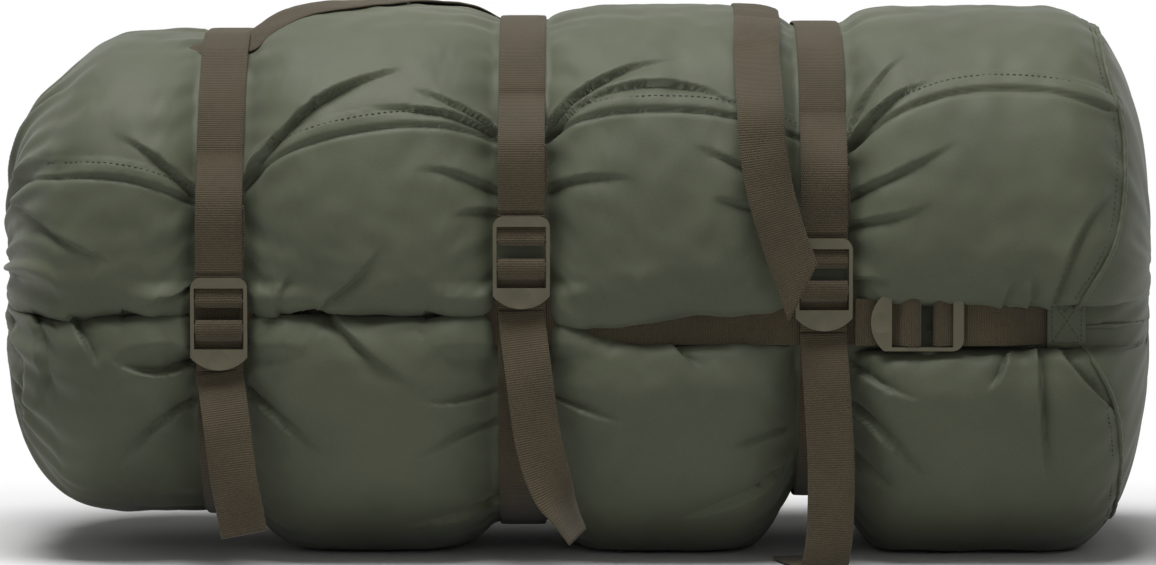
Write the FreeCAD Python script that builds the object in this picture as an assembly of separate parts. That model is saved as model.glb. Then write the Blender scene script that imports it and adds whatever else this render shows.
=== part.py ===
import FreeCAD, Part
import math
import os

# Packed compression stuff sack lying on its side.
# Millimetres. X runs along the sack, from the gathered mouth (-X) to the sewn base (+X).
# -Y is the front, where the ladder locks are. +Z is up, and the floor is Z = 0.

# ---- driving dimensions -------------------------------------------------
sack_length = 630.0
webbing_width = 25.0
webbing_thickness = 1.6
fabric_thickness = 0.8
skin_to_load_gap = 0.5
webbing_gap = 0.6
draped_gap = 1.2
layer_gap = 0.3
strap_pitch = 161.5
middle_strap_x = -31.0
valley_spare = 6.0
seat_plane_z = 0.0

# Height and depth of the sack at the three girth straps (left, middle, right) ...
neck_top = [285.0, 292.0, 289.0]
neck_bottom = [20.0, 14.0, 30.0]
neck_front = [122.0, 125.0, 122.0]
neck_back = [123.0, 125.0, 123.0]
# ... and in the four bays beside them.
bay_top = [286.0, 300.0, 300.0, 299.0]
bay_bottom = [20.0, -4.0, -5.0, -5.0]
bay_front = [136.0, 140.0, 140.0, 140.0]
bay_back = [128.0, 130.0, 130.0, 130.0]
axis_y = 4.0
section_power = 2.6
dome_power = 2.6
dome_length = 64.0
bulge_power = 2.2
end_bulge_reach = 46.0

# The fold between the upper and the lower lobe, which the lengthwise webbing lies in.
crease_z = 132.0
crease_half_height = 20.0
crease_below_neck = 6.0

# Mouth (left end)
mouth_z = 150.0
mouth_recess_radius = 28.0
mouth_recess_depth = 10.0
hem_outer_radius = 24.0
hem_inner_radius = 6.0
hem_thickness = 8.0
hem_rounding = 2.8
eyelet_outer_radius = 5.0
eyelet_hole_radius = 2.5
eyelet_thickness = 1.0
eyelet_radius_out = 16.0

# Base (right end)
base_seam_x = 284.0
binding_width = 7.0
binding_thickness = 1.8
binding_gap = 0.3

# Ladder lock, seen from outside: length runs down from the guard rail to the thumb tab.
lock_side_play = 0.7
lock_length = 49.5
lock_thickness = 4.0
lock_corner = 6.0
rail_width = 5.6
rail_back = 0.0
window_side = 2.0
lock_width = webbing_width + 2 * (lock_side_play + window_side)
window_end = 38.3
bar_a_centre = 12.7
bar_a_depth = -1.4
bar_a_radius = 1.6
bar_b_start = 25.0
bar_b_end = 30.0
bar_b_back = -1.5
bar_b_front = 0.9
tab_edge_rise = 7.0
tab_dish_depth = 0.7
tab_dish_radius = 22.0
tab_dish_inset = 2.0
bar_b_rounding = 0.9
loop_clearance = 0.1
load_depth = -5.4
tail_depth = -3.4
load_end = 40.0
tail_start = lock_length + 0.5
fold_back_length = 38.0
fold_stitched_length = 8.0
fold_sink = 0.1
loop_end = -1.0
webbing_split = 0.3

# Tops of the three girth locks
lock_top_z = [156.0, 189.0, 177.0]
# Places of the two lengthwise locks, measured at the guard rail
length_lock_x = 205.0
anchor_seam_x = 251.0
patch_length = 20.0
patch_thickness = 0.8
patch_margin = 1.5
anchor_lift = 0.8
anchor_fold_length = 16.0

# Free ends of the webbing
tail_end_z = [9.0, 10.0]
tail_lean = [9.0, 10.0]
tail_front_y = 139.0
floor_fold_radius = 7.0
floor_fold_length = 55.0
hanging_tail_x = 96.0
hanging_tail_lean = 8.0
hanging_tail_end_z = 128.0
hanging_tail_split_angle = 112.0
lock_tilt = 20.0
rear_stub_length = 6.0
hanging_tail_cut = 45.0
floor_gap = 0.1
front_stub_length = 7.5

X_AXIS = FreeCAD.Vector(1, 0, 0)
Y_AXIS = FreeCAD.Vector(0, 1, 0)
Z_AXIS = FreeCAD.Vector(0, 0, 1)

strap_x = [middle_strap_x + (i - 1) * strap_pitch for i in range(3)]
valley_width = webbing_width + valley_spare
half_length = sack_length / 2
# Distance from the fabric of a neck to the middle plane of the lock in front of it
lock_stand_off = webbing_gap + webbing_thickness + layer_gap + webbing_thickness / 2 - load_depth


# ---- the packed shape ---------------------------------------------------
def swell(share):
    """How full a bay is, from 0 at a strap to 1 in the middle; share runs 0..1 across it."""
    return 1 - (1 - min(1.0, 4 * share * (1 - share))) ** bulge_power


def between(low, high, share):
    return low + (high - low) * share


def station(x):
    """Extents of the sack at x, the depth of its front crease and the strap level there."""
    tables = [(neck_top, bay_top), (neck_bottom, bay_bottom), (neck_front, bay_front), (neck_back, bay_back)]
    edge = valley_width / 2
    if x < strap_x[0] - edge:
        reach = (strap_x[0] - edge - x) / end_bulge_reach
        full = swell(min(1.0, reach) / 2)
        values = [between(neck[0], bay[0], full) for neck, bay in tables]
        level = neck_front[0]
    elif x > strap_x[2] + edge:
        reach = (x - strap_x[2] - edge) / end_bulge_reach
        full = swell(min(1.0, reach) / 2)
        values = [between(neck[2], bay[3], full) for neck, bay in tables]
        level = neck_front[2]
    else:
        left = 0 if x < strap_x[1] else 1
        share = (x - strap_x[left] - edge) / (strap_pitch - valley_width)
        share = min(1.0, max(0.0, share))
        full = swell(share)
        values = []
        for neck, bay in tables:
            values.append(between(between(neck[left], neck[left + 1], share), bay[left + 1], full))
        level = between(neck_front[left], neck_front[left + 1], share)
    crease = values[2] - level + crease_below_neck * full
    return values, crease, level


def dome_scale(x, inset):
    """Shrinks the section over the rounded ends."""
    start = half_length - dome_length
    past = abs(x) - start
    if past <= 0:
        return 1.0
    share = min(1.0, past / (dome_length - inset))
    return (1 - share**dome_power) ** (1 / dome_power)


def section_angles():
    """Degrees round the section, closer together at the front crease."""
    coarse = [-90 + step * 12.0 for step in range(21)]
    fine = [162.0 + step * 3.0 for step in range(13)]
    closing = [208.0, 219.0, 231.0, 244.0, 257.0]
    return [angle for angle in coarse if angle < 160.0] + fine + closing


def section_point(x, degrees, inset=0.0):
    """A point (y, z) on the section, before any offset."""
    (top, bottom, front, back), crease, _ = station(x)
    scale = dome_scale(x, inset)
    half_height = (top - bottom) / 2 * scale
    middle_z = (top + bottom) / 2
    angle = math.radians(degrees)
    cosine, sine = math.cos(angle), math.sin(angle)
    depth = (back if cosine > 0 else front) * scale
    reach = (abs(cosine) / depth) ** section_power + (abs(sine) / half_height) ** section_power
    radius = reach ** (-1 / section_power)
    y = radius * cosine
    z = middle_z + radius * sine
    if cosine < 0:
        y += crease * scale * math.exp(-(((z - crease_z) / crease_half_height) ** 6))
    return y + axis_y, z


def outline(x, inset, angles):
    """Points (y, z) of the section at x, moved inwards by inset (outwards if negative)."""
    step = 1.0
    points = []
    for degrees in angles:
        y, z = section_point(x, degrees, inset)
        y0, z0 = section_point(x, degrees - step, inset)
        y1, z1 = section_point(x, degrees + step, inset)
        length = math.hypot(y1 - y0, z1 - z0)
        points.append((y - inset * (z1 - z0) / length, z + inset * (y1 - y0) / length))
    return points


def front_y(x, z):
    """Y of the front fabric at (x, z)."""
    low, high = 120.0, 250.0
    for _ in range(40):
        middle = (low + high) / 2
        if section_point(x, middle)[1] > z:
            low = middle
        else:
            high = middle
    return section_point(x, low)[0]


def back_y(x, z):
    """Y of the back fabric at (x, z)."""
    low, high = -70.0, 60.0
    for _ in range(40):
        middle = (low + high) / 2
        if section_point(x, middle)[1] < z:
            low = middle
        else:
            high = middle
    return section_point(x, low)[0]


def station_positions(inset):
    places = []
    for x in strap_x:
        places += [x + share * valley_width for share in (-0.5, 0.5)]
    bay_shares = (0.04, 0.1, 0.18, 0.29, 0.5, 0.71, 0.82, 0.9, 0.96)
    for left in range(2):
        start = strap_x[left] + valley_width / 2
        places += [start + share * (strap_pitch - valley_width) for share in bay_shares]
    dome_start = half_length - dome_length
    for sign, strap in ((-1, strap_x[0]), (1, strap_x[2])):
        start = strap + sign * valley_width / 2
        places += [start + sign * reach for reach in (5.0, 12.0, 23.0)]
        flat = abs(sign * dome_start - start) - 23.0
        places += [start + sign * (23.0 + flat * share) for share in (0.55,)]
        for degrees in (18, 34, 48, 60, 69, 76):
            past = math.sin(math.radians(degrees)) ** (2 / dome_power)
            places.append(sign * (dome_start + (dome_length - inset) * past))
    return sorted(places)


def skin_loft(inset, positions):
    """Solid through the sections at the positions, inset from the outside of the sack."""
    angles = section_angles()
    parameters = [angle / 360.0 for angle in angles] + [1 + angles[0] / 360.0]
    arc_ends = [-90.0, -30.0, 30.0, 90.0, 150.0, 162.0, 180.0, 198.0, 219.0, 270.0]
    wires = []
    for x in positions:
        points = [FreeCAD.Vector(x, y, z) for y, z in outline(x, inset, angles)]
        curve = Part.BSplineCurve()
        curve.interpolate(Points=points, PeriodicFlag=True, Parameters=parameters)
        arcs = []
        for start, end in zip(arc_ends, arc_ends[1:]):
            arcs.append(curve.toShape(start / 360.0, end / 360.0))
        wires.append(Part.Wire(arcs))
    return Part.makeLoft(wires, True, True)


def packed_form(inset):
    """Solid of the packed sack, flat where it rests, with the recess of its mouth."""
    form = skin_loft(inset, station_positions(inset))
    room = Part.makeBox(2 * sack_length, 2 * sack_length, 2 * sack_length)
    room.translate(FreeCAD.Vector(-sack_length, -sack_length, seat_plane_z + inset))
    recess = Part.makeCylinder(
        mouth_recess_radius + inset,
        mouth_recess_depth + inset + sack_length,
        FreeCAD.Vector(-half_length + mouth_recess_depth + inset, axis_y, mouth_z),
        -X_AXIS,
    )
    return form.cut(recess).common(room)


def slab(x_start, x_end):
    box = Part.makeBox(x_end - x_start, 2 * sack_length, 2 * sack_length)
    box.translate(FreeCAD.Vector(x_start, -sack_length, -sack_length))
    return box


# ---- helpers for webbing ------------------------------------------------
def ribbon(points, across, width, thickness):
    """Flat webbing whose edge-on centreline is in a plane; across is that plane's normal."""
    left, right = [], []
    for i, point in enumerate(points):
        ahead = points[min(i + 1, len(points) - 1)]
        behind = points[max(i - 1, 0)]
        normal = across.cross((ahead - behind).normalize())
        left.append(point + normal * (thickness / 2))
        right.append(point - normal * (thickness / 2))
    face = Part.Face(Part.makePolygon(left + right[::-1] + [left[0]]))
    face.translate(across * (-width / 2))
    return face.extrude(across * width)


def eased_run(start, end, count, leave=True, arrive=True):
    """Points from start to end, shifting in Y gently where it leaves and where it arrives."""
    points = []
    for step in range(1, count):
        share = step / count
        eased = share
        if leave and arrive:
            eased = share * share * (3 - 2 * share)
        elif leave:
            eased = share * share
        elif arrive:
            eased = 1 - (1 - share) ** 2
        points.append(
            FreeCAD.Vector(
                start.x + (end.x - start.x) * share,
                start.y + (end.y - start.y) * eased,
                start.z + (end.z - start.z) * share,
            )
        )
    return points


def cut_corners(points, rounds=4):
    """Rounds a run of straight lines by cutting its corners again and again."""
    for _ in range(rounds):
        rounded = [points[0]]
        for a, b in zip(points, points[1:]):
            rounded.append(a * 0.75 + b * 0.25)
            rounded.append(a * 0.25 + b * 0.75)
        points = rounded + [points[-1]]
    return points


def surface_place(x, degrees, lift):
    """Point lifted off the fabric at (x, degrees), and the outward direction of the section there."""
    y, z = section_point(x, degrees)
    y0, z0 = section_point(x, degrees - 1)
    y1, z1 = section_point(x, degrees + 1)
    outward = FreeCAD.Vector(0, z1 - z0, y0 - y1).normalize()
    return FreeCAD.Vector(x, y, z) + outward * lift, outward


def draped_ribbon(route, width, thickness, count):
    """Webbing laid on the fabric along (x, degrees, lift) places."""
    curve = Part.BSplineCurve()
    curve.interpolate(Points=[FreeCAD.Vector(x, degrees, lift) for x, degrees, lift in route])
    line = curve.toShape().discretize(Number=count)
    middles = [surface_place(place.x, place.y, place.z)[0] for place in line]
    wires = []
    for i, place in enumerate(line):
        first, last = max(i - 1, 0), min(i + 1, count - 1)
        tangent = (middles[last] - middles[first]).normalize()
        y, z = section_point(place.x, place.y)
        mm_per_degree = math.hypot(y - axis_y, z - mouth_z) * math.pi / 180
        along_x = line[last].x - line[first].x
        along_round = (line[last].y - line[first].y) * mm_per_degree
        length = math.hypot(along_x, along_round)
        inner, outer = [], []
        for share in (-0.5, -0.25, 0.0, 0.25, 0.5):
            x = place.x - along_round / length * share * width
            degrees = place.y + along_x / length * share * width / mm_per_degree
            for row, rise in ((inner, -thickness / 2), (outer, thickness / 2)):
                point = surface_place(x, degrees, place.z + rise)[0]
                row.append(point - tangent * (point - middles[i]).dot(tangent))
        ring = inner + outer[::-1]
        wires.append(Part.makePolygon(ring + [ring[0]]))
    return Part.makeLoft(wires, True, True)


# ---- ladder locks -------------------------------------------------------
# Built with X across, Y down the length from the guard rail and Z outwards.
def lock_frame_local():
    half = lock_width / 2
    edge_y = lock_length - tab_edge_rise
    corner = lock_corner
    slant = corner * (1 - math.sqrt(0.5))
    outer = Part.Wire(
        [
            Part.makeLine(FreeCAD.Vector(-half + corner, 0, 0), FreeCAD.Vector(half - corner, 0, 0)),
            Part.Arc(
                FreeCAD.Vector(half - corner, 0, 0),
                FreeCAD.Vector(half - slant, slant, 0),
                FreeCAD.Vector(half, corner, 0),
            ).toShape(),
            Part.makeLine(FreeCAD.Vector(half, corner, 0), FreeCAD.Vector(half, edge_y, 0)),
            Part.Arc(
                FreeCAD.Vector(half, edge_y, 0),
                FreeCAD.Vector(0, lock_length, 0),
                FreeCAD.Vector(-half, edge_y, 0),
            ).toShape(),
            Part.makeLine(FreeCAD.Vector(-half, edge_y, 0), FreeCAD.Vector(-half, corner, 0)),
            Part.Arc(
                FreeCAD.Vector(-half, corner, 0),
                FreeCAD.Vector(-half + slant, slant, 0),
                FreeCAD.Vector(-half + corner, 0, 0),
            ).toShape(),
        ]
    )
    body = Part.Face(outer).extrude(FreeCAD.Vector(0, 0, lock_thickness))
    body.translate(FreeCAD.Vector(0, 0, -lock_thickness / 2))
    inner_width = lock_width - 2 * window_side
    window = Part.makeBox(inner_width, window_end - rail_width, 2 * lock_thickness)
    window.translate(FreeCAD.Vector(-inner_width / 2, rail_width, -lock_thickness))
    body = body.cut(window)
    behind_rail = Part.makeBox(inner_width, rail_width + 1, lock_thickness)
    behind_rail.translate(FreeCAD.Vector(-inner_width / 2, -1, rail_back - lock_thickness))
    body = body.cut(behind_rail)
    dish = Part.makeSphere(tab_dish_radius)
    dish_u = lock_length - tab_edge_rise / 2 - tab_dish_inset
    dish.translate(FreeCAD.Vector(0, dish_u, lock_thickness / 2 + tab_dish_radius - tab_dish_depth))
    body = body.cut(dish)
    bar_a = Part.makeCylinder(
        bar_a_radius,
        inner_width + window_side,
        FreeCAD.Vector(-(inner_width + window_side) / 2, bar_a_centre, bar_a_depth),
        X_AXIS,
    )
    bar_b = Part.makeBox(inner_width + window_side, bar_b_end - bar_b_start, bar_b_front - bar_b_back)
    bar_b.translate(FreeCAD.Vector(-(inner_width + window_side) / 2, bar_b_start, bar_b_back))
    rounded = bar_b.makeFillet(bar_b_rounding, [edge for edge in bar_b.Edges if abs(edge.tangentAt(0).x) > 0.9])
    return body.fuse([bar_a, rounded]).removeSplitter()


def bight_local(tail_end):
    """Webbing from behind the tab, over the second bar and back out under the tab."""
    half = webbing_thickness / 2
    top = bar_b_start - half - 0.8
    places = [
        (load_end, load_depth),
        (load_end - 2.0, load_depth),
        (load_end - 5.0, load_depth + 0.4),
        (bar_b_end + 1.5, bar_b_back - half - 0.7),
        (top, bar_b_back - half - 0.5),
        (top, bar_b_front + half + 0.5),
        (bar_b_end + 1.8, bar_b_front + half + 0.3),
        (bar_b_end + 3.6, tail_depth + 0.8),
        (window_end, tail_depth),
        (tail_end, tail_depth),
    ]
    points = [FreeCAD.Vector(0, u, w) for u, w in places]
    return ribbon(cut_corners(points, 3), X_AXIS, webbing_width, webbing_thickness)


def lock_placement(origin, across, down, outward):
    matrix = FreeCAD.Matrix(
        across.x, down.x, outward.x, origin.x,
        across.y, down.y, outward.y, origin.y,
        across.z, down.z, outward.z, origin.z,
        0, 0, 0, 1,
    )
    return FreeCAD.Placement(matrix)


def placed(shape, placement):
    copy = shape.copy()
    copy.Placement = placement
    return copy


def girth_lock_placement(i):
    origin = FreeCAD.Vector(strap_x[i], girth_lock_y(i), lock_top_z[i])
    return lock_placement(origin, -X_AXIS, -Z_AXIS, -Y_AXIS)


def girth_lock_y(i):
    return axis_y - neck_front[i] - lock_stand_off


front_lock_y = axis_y - neck_front[2] - lock_stand_off
rear_lock_y = axis_y + max(bay_back) + lock_stand_off
front_lock_placement = lock_placement(
    FreeCAD.Vector(length_lock_x, front_lock_y, crease_z), Z_AXIS, -X_AXIS, -Y_AXIS
)
rear_lock_placement = lock_placement(
    FreeCAD.Vector(length_lock_x, rear_lock_y, crease_z), -Z_AXIS, -X_AXIS, Y_AXIS
)


# A lock turns about a line between its loop and the strap, at the strap's outer face.
hinge_u = loop_end - webbing_split / 2


# ---- webbing round the sack ---------------------------------------------
crossing_gap = 0.9
crossing_reach = 28.0
crossing_slope = 10.0
strap_merge_length = 26.0
strap_leave_length = 8.0
rear_step_length = 24.0
diagonal_end_spare = 3.4
on_fabric = webbing_gap + webbing_thickness / 2
draped = draped_gap + webbing_thickness / 2
diagonal_end_x = strap_x[2] - valley_width / 2
rear_strap_level = axis_y + max(bay_back) + on_fabric


def rear_degrees(x, z):
    """Degrees round the sack of a place at height z on the back."""
    top, bottom = station(x)[0][:2]
    return -math.degrees(math.atan2((top + bottom) / 2 - z, neck_back[2]))


# The rear leg of the lengthwise webbing, as (x, degrees round the sack, lift off the fabric).
rear_end_degrees = rear_degrees(diagonal_end_x, crease_z)
rear_end_lift = rear_strap_level - section_point(diagonal_end_x, rear_end_degrees)[0]
diagonal_route = [
    (-262.0, 138.0, draped),
    (-232.0, 127.0, draped),
    (strap_x[0], 114.0, draped),
    (-150.0, 102.0, draped),
    (-110.0, 90.0, draped),
    (-70.0, 74.0, draped),
    (strap_x[1], 58.0, draped),
    (5.0, 44.0, draped),
    (38.0, 28.0, draped),
    (64.0, 11.0, draped),
    (82.0, -2.0, draped + 0.5),
    (96.0, rear_end_degrees + 1.0, rear_end_lift * 0.6),
    (diagonal_end_x - 8.0, rear_end_degrees, rear_end_lift * 0.9),
    (diagonal_end_x, rear_end_degrees, rear_end_lift),
]


bar_turn_radius = bar_a_radius + loop_clearance + webbing_thickness / 2
back_layer = bar_a_depth - bar_turn_radius
front_layer = rail_back - layer_gap - webbing_thickness / 2
strap_start = loop_end - webbing_split


def lock_loop_local():
    """Webbing round the first bar and under the guard rail: the part that turns with the lock."""
    places = [(loop_end, back_layer)]
    for degrees in range(0, 181, 15):
        angle = math.radians(degrees)
        u = bar_a_centre + bar_turn_radius * math.sin(angle)
        places.append((u, bar_a_depth - bar_turn_radius * math.cos(angle)))
    places += [(rail_width + 3.2, front_layer + 1.3), (rail_width, front_layer), (loop_end, front_layer)]
    points = [FreeCAD.Vector(0, u, w) for u, w in places]
    return ribbon(points, X_AXIS, webbing_width, webbing_thickness)


def folded_layer_local(length):
    """The end of a strap, folded back behind it and sewn to it."""
    sewn = front_layer - webbing_thickness + fold_sink
    places = [
        (strap_start, back_layer),
        (fold_stitched_length * 2 - length, back_layer),
        (fold_stitched_length - length, sewn),
        (-length, sewn),
    ]
    points = [FreeCAD.Vector(0, u, w) for u, w in places]
    return ribbon(points, X_AXIS, webbing_width, webbing_thickness)


def level_degrees(x, z, depth):
    """Degrees round the sack of a place at height z on the front."""
    top, bottom = station(x)[0][:2]
    return 180.0 + math.degrees(math.atan2((top + bottom) / 2 - z, depth))


def girth_lift(x, degrees, crossings):
    """Height of a girth strap's middle over the fabric, more where it crosses other webbing."""
    lift = webbing_gap + webbing_thickness / 2
    for crossing in crossings:
        away = abs((degrees - crossing + 180.0) % 360.0 - 180.0)
        share = min(1.0, max(0.0, (crossing_reach - away) / crossing_slope))
        share = share * share * (3 - 2 * share)
        lift += (draped + webbing_thickness + crossing_gap - lift) * share
    return lift


def girth_strap(i):
    """One turn of webbing, from the loop on the lock's first bar round the sack to its second."""
    placement = girth_lock_placement(i)
    x = strap_x[i]
    points = []
    for u in (strap_start, -fold_back_length):
        points.append(placement.multVec(FreeCAD.Vector(0, u, front_layer)))
    crossings = [level_degrees(x, crease_z, neck_front[i])]
    crossings += [degrees for place_x, degrees, _ in diagonal_route if place_x == x]
    start_z = lock_top_z[i] + fold_back_length + strap_merge_length
    below_lock = lock_top_z[i] - lock_length
    below_crossing = crease_z - webbing_width / 2 - strap_leave_length
    end_z = min(below_lock, below_crossing) - strap_leave_length
    wrap = []
    for step in range(0, 360, 3):
        degrees = 174 - step
        place, outward = surface_place(x, degrees, 0)
        if degrees > 90 and place.z < start_z:
            continue
        if degrees < -90 and place.z > end_z:
            continue
        point = place + outward * girth_lift(x, degrees, crossings)
        if i == 2 and point.y > axis_y:
            away = abs(point.z - crease_z) - webbing_width / 2 - 6.0
            share = 1 - min(1.0, max(0.0, away / rear_step_length))
            over = rear_strap_level + webbing_thickness + layer_gap
            share = share * share * (3 - 2 * share)
            point.y += max(0.0, over - point.y) * share
        wrap.append(point)
    points += eased_run(points[-1], wrap[0], 8, arrive=False)
    points += wrap
    level_u = lock_top_z[i] - end_z - strap_leave_length
    finish = [placement.multVec(FreeCAD.Vector(0, u, load_depth)) for u in (level_u, load_end + layer_gap)]
    points += eased_run(wrap[-1], finish[0], 4, leave=False) + finish
    strap = ribbon(points, X_AXIS, webbing_width, webbing_thickness)
    return strap.fuse(placed(folded_layer_local(fold_back_length), placement)).removeSplitter()


def strap_level_y(x):
    """Y of the middle of webbing that runs straight from neck to neck along the front."""
    return axis_y - station(x)[2] - webbing_gap - webbing_thickness / 2


def front_length_strap():
    """From behind the front lock, along the front crease to the left end."""
    start = front_lock_placement.multVec(FreeCAD.Vector(0, load_end + layer_gap, load_depth))
    points = [start, start - X_AXIS * 5.0]
    neck_edge = strap_x[0] - valley_width / 2
    x = strap_x[2] + webbing_width / 2
    points += eased_run(points[-1], FreeCAD.Vector(x, strap_level_y(x), crease_z), 4)
    while x > neck_edge:
        points.append(FreeCAD.Vector(x, strap_level_y(x), crease_z))
        x -= 6.0
    inner = webbing_gap + webbing_thickness / 2
    last_x = -half_length + dome_length - 22.0
    end = FreeCAD.Vector(last_x, front_y(last_x, crease_z) - inner - 3.0, crease_z)
    points += eased_run(points[-1], end, 12) + [end]
    return ribbon(points, Z_AXIS, webbing_width, webbing_thickness)


def anchor_strap(placement, surface, side):
    """From the loop on the first bar to the patch on the fabric; side is -1 front, 1 rear."""
    points = [placement.multVec(FreeCAD.Vector(0, strap_start, front_layer))]
    inner = draped_gap + webbing_thickness / 2 + anchor_lift
    sewn = []
    for step in range(6):
        x = anchor_seam_x + (patch_length - 2.0) * step / 5
        sewn.append(FreeCAD.Vector(x, surface(x, crease_z) + side * inner, crease_z))
    points += eased_run(points[-1], sewn[0], 10) + sewn
    strap = ribbon(points, Z_AXIS, webbing_width, webbing_thickness)
    ends = [FreeCAD.Vector(0, strap_start, back_layer), FreeCAD.Vector(0, -anchor_fold_length, back_layer)]
    fold = ribbon(ends, X_AXIS, webbing_width, webbing_thickness)
    return strap.fuse(placed(fold, placement)).removeSplitter()


def anchor_patch(surface, side):
    lift = draped_gap + anchor_lift + webbing_thickness + layer_gap + patch_thickness / 2
    points = []
    for step in range(7):
        x = anchor_seam_x + patch_length * step / 6
        points.append(FreeCAD.Vector(x, surface(x, crease_z) + side * lift, crease_z))
    return ribbon(points, Z_AXIS, webbing_width + 2 * patch_margin, patch_thickness)


def diagonal_strap():
    return draped_ribbon(diagonal_route, webbing_width, webbing_thickness, 60)


def rear_length_strap():
    """The straight end of the rear leg, from the diagonal to behind the rear lock."""
    start = rear_lock_placement.multVec(FreeCAD.Vector(0, load_end + layer_gap, load_depth))
    points = [start, start - X_AXIS * 5.0]
    neck_edge = FreeCAD.Vector(strap_x[2] + webbing_width / 2, rear_strap_level, crease_z)
    points += eased_run(points[-1], neck_edge, 5) + [neck_edge]
    points.append(FreeCAD.Vector(diagonal_end_x + diagonal_end_spare, rear_strap_level, crease_z))
    return ribbon(points, Z_AXIS, webbing_width, webbing_thickness)


# ---- free ends ----------------------------------------------------------
def tail_top(i, lean=0.0):
    """Where a girth lock's tail comes out under the tab."""
    corner_rise = webbing_width / 2 * math.sin(math.radians(lean))
    local = FreeCAD.Vector(0, tail_start + layer_gap + corner_rise, tail_depth)
    return girth_lock_placement(i).multVec(local)


def hanging_end(i):
    """A tail that hangs straight down from under a girth lock's tab."""
    top = tail_top(i, tail_lean[i])
    outer = axis_y - tail_front_y
    points = [
        top,
        top - Z_AXIS * 5.0,
        FreeCAD.Vector(top.x, outer, top.z - 28.0),
        FreeCAD.Vector(top.x, outer, tail_end_z[i]),
    ]
    tail = ribbon(cut_corners(points), X_AXIS, webbing_width, webbing_thickness)
    tail.rotate(top, Y_AXIS, -tail_lean[i])
    return tail


def right_tail():
    """Hangs to the floor, where its end is folded back under the sack."""
    top = tail_top(2)
    outer = axis_y - tail_front_y
    floor_z = seat_plane_z + webbing_thickness / 2 + floor_gap
    points = [
        top,
        top - Z_AXIS * 5.0,
        FreeCAD.Vector(top.x, outer, top.z - 28.0),
        FreeCAD.Vector(top.x, outer, floor_z + 3 * floor_fold_radius),
        FreeCAD.Vector(top.x, outer, floor_z),
        FreeCAD.Vector(top.x, outer + 3 * floor_fold_radius, floor_z),
        FreeCAD.Vector(top.x, outer + floor_fold_length, floor_z),
    ]
    return ribbon(cut_corners(points), X_AXIS, webbing_width, webbing_thickness)


def rear_tail():
    """The rear lock's tail: along the back, then up over the top to the front shoulder."""
    start_x = length_lock_x - tail_start - rear_stub_length - 2.6
    level = rear_degrees(start_x, crease_z)
    over = rear_strap_level + 2 * (webbing_thickness + layer_gap) + 2.3 - axis_y - neck_back[2]
    route = [
        (start_x, level, over),
        (start_x - 5.0, level, over),
        (strap_x[2] + 6.0, level + 1.5, over),
        (strap_x[2] - 4.0, level + 8.0, over),
        (119.0, level + 19.0, over),
        (109.0, 26.0, over * 0.7),
        (100.0, 46.0, draped + 1.0),
        (hanging_tail_x + 1.0, 68.0, draped),
        (hanging_tail_x, 90.0, draped),
        (hanging_tail_x, hanging_tail_split_angle - 1.0, draped),
    ]
    return draped_ribbon(route, webbing_width, webbing_thickness, 44)


def hanging_tail():
    """The free end of the rear tail, over the front of the third bay, clear of the right lock's tab."""
    swing = (lock_length - hinge_u) * math.sin(math.radians(lock_tilt))
    front = girth_lock_y(2) - lock_thickness / 2 - swing - webbing_thickness / 2 - layer_gap
    points = []
    for step in range(14):
        degrees = hanging_tail_split_angle + step * 4.0
        place = surface_place(hanging_tail_x - webbing_width / 2, degrees, draped + 1.0)[0]
        if place.y < axis_y - bay_front[2] + 14.0:
            break
        points.append(FreeCAD.Vector(hanging_tail_x, place.y, place.z))
    top = points[0]
    last = points[-1]
    points.append(FreeCAD.Vector(hanging_tail_x, front, last.z - 24.0))
    points.append(FreeCAD.Vector(hanging_tail_x, front, hanging_tail_end_z))
    tail = ribbon(cut_corners(points, 3), X_AXIS, webbing_width, webbing_thickness)
    cutter = Part.makeBox(8 * webbing_width, 4 * webbing_width, 2 * webbing_width)
    cutter.translate(FreeCAD.Vector(-4 * webbing_width, -2 * webbing_width, -2 * webbing_width))
    cutter.rotate(FreeCAD.Vector(0, 0, 0), Y_AXIS, -hanging_tail_cut)
    cutter.translate(FreeCAD.Vector(hanging_tail_x - webbing_width / 2, front, hanging_tail_end_z))
    tail = tail.cut(cutter)
    tail.rotate(top, Y_AXIS, -hanging_tail_lean)
    return tail


# ---- mouth and base trim ------------------------------------------------
def mouth_hem():
    """Ring of gathered hem, sitting in the recess of the mouth."""
    inner_x = -half_length + mouth_recess_depth - layer_gap
    centre = FreeCAD.Vector(inner_x, axis_y, mouth_z)
    ring = Part.makeCylinder(hem_outer_radius, hem_thickness, centre, -X_AXIS)
    rims = [edge for edge in ring.Edges if edge.Length > hem_outer_radius * 4]
    ring = ring.makeFillet(hem_rounding, rims)
    hole = Part.makeCylinder(hem_inner_radius, 3 * hem_thickness, centre + X_AXIS * 5, -X_AXIS)
    eyelet_seat = Part.makeCylinder(
        eyelet_hole_radius,
        3 * hem_thickness,
        FreeCAD.Vector(inner_x + 5, axis_y, mouth_z + eyelet_radius_out),
        -X_AXIS,
    )
    return ring.cut(hole).cut(eyelet_seat)


def cord_eyelet():
    """Metal ring round the hole in the hem."""
    face_x = -half_length + mouth_recess_depth - layer_gap - hem_thickness
    centre = FreeCAD.Vector(face_x, axis_y, mouth_z + eyelet_radius_out)
    ring = Part.makeCylinder(eyelet_outer_radius, eyelet_thickness, centre, -X_AXIS)
    hole = Part.makeCylinder(eyelet_hole_radius, 4 * eyelet_thickness, centre + X_AXIS * 2, -X_AXIS)
    return ring.cut(hole)


def base_binding():
    """Piping over the seam between the body and the base panel."""
    positions = [base_seam_x + share * binding_width for share in (-0.5, -0.2, 0.2, 0.5)]
    inner = skin_loft(-binding_gap, positions)
    return skin_loft(-binding_gap - binding_thickness, positions).cut(inner)


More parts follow.
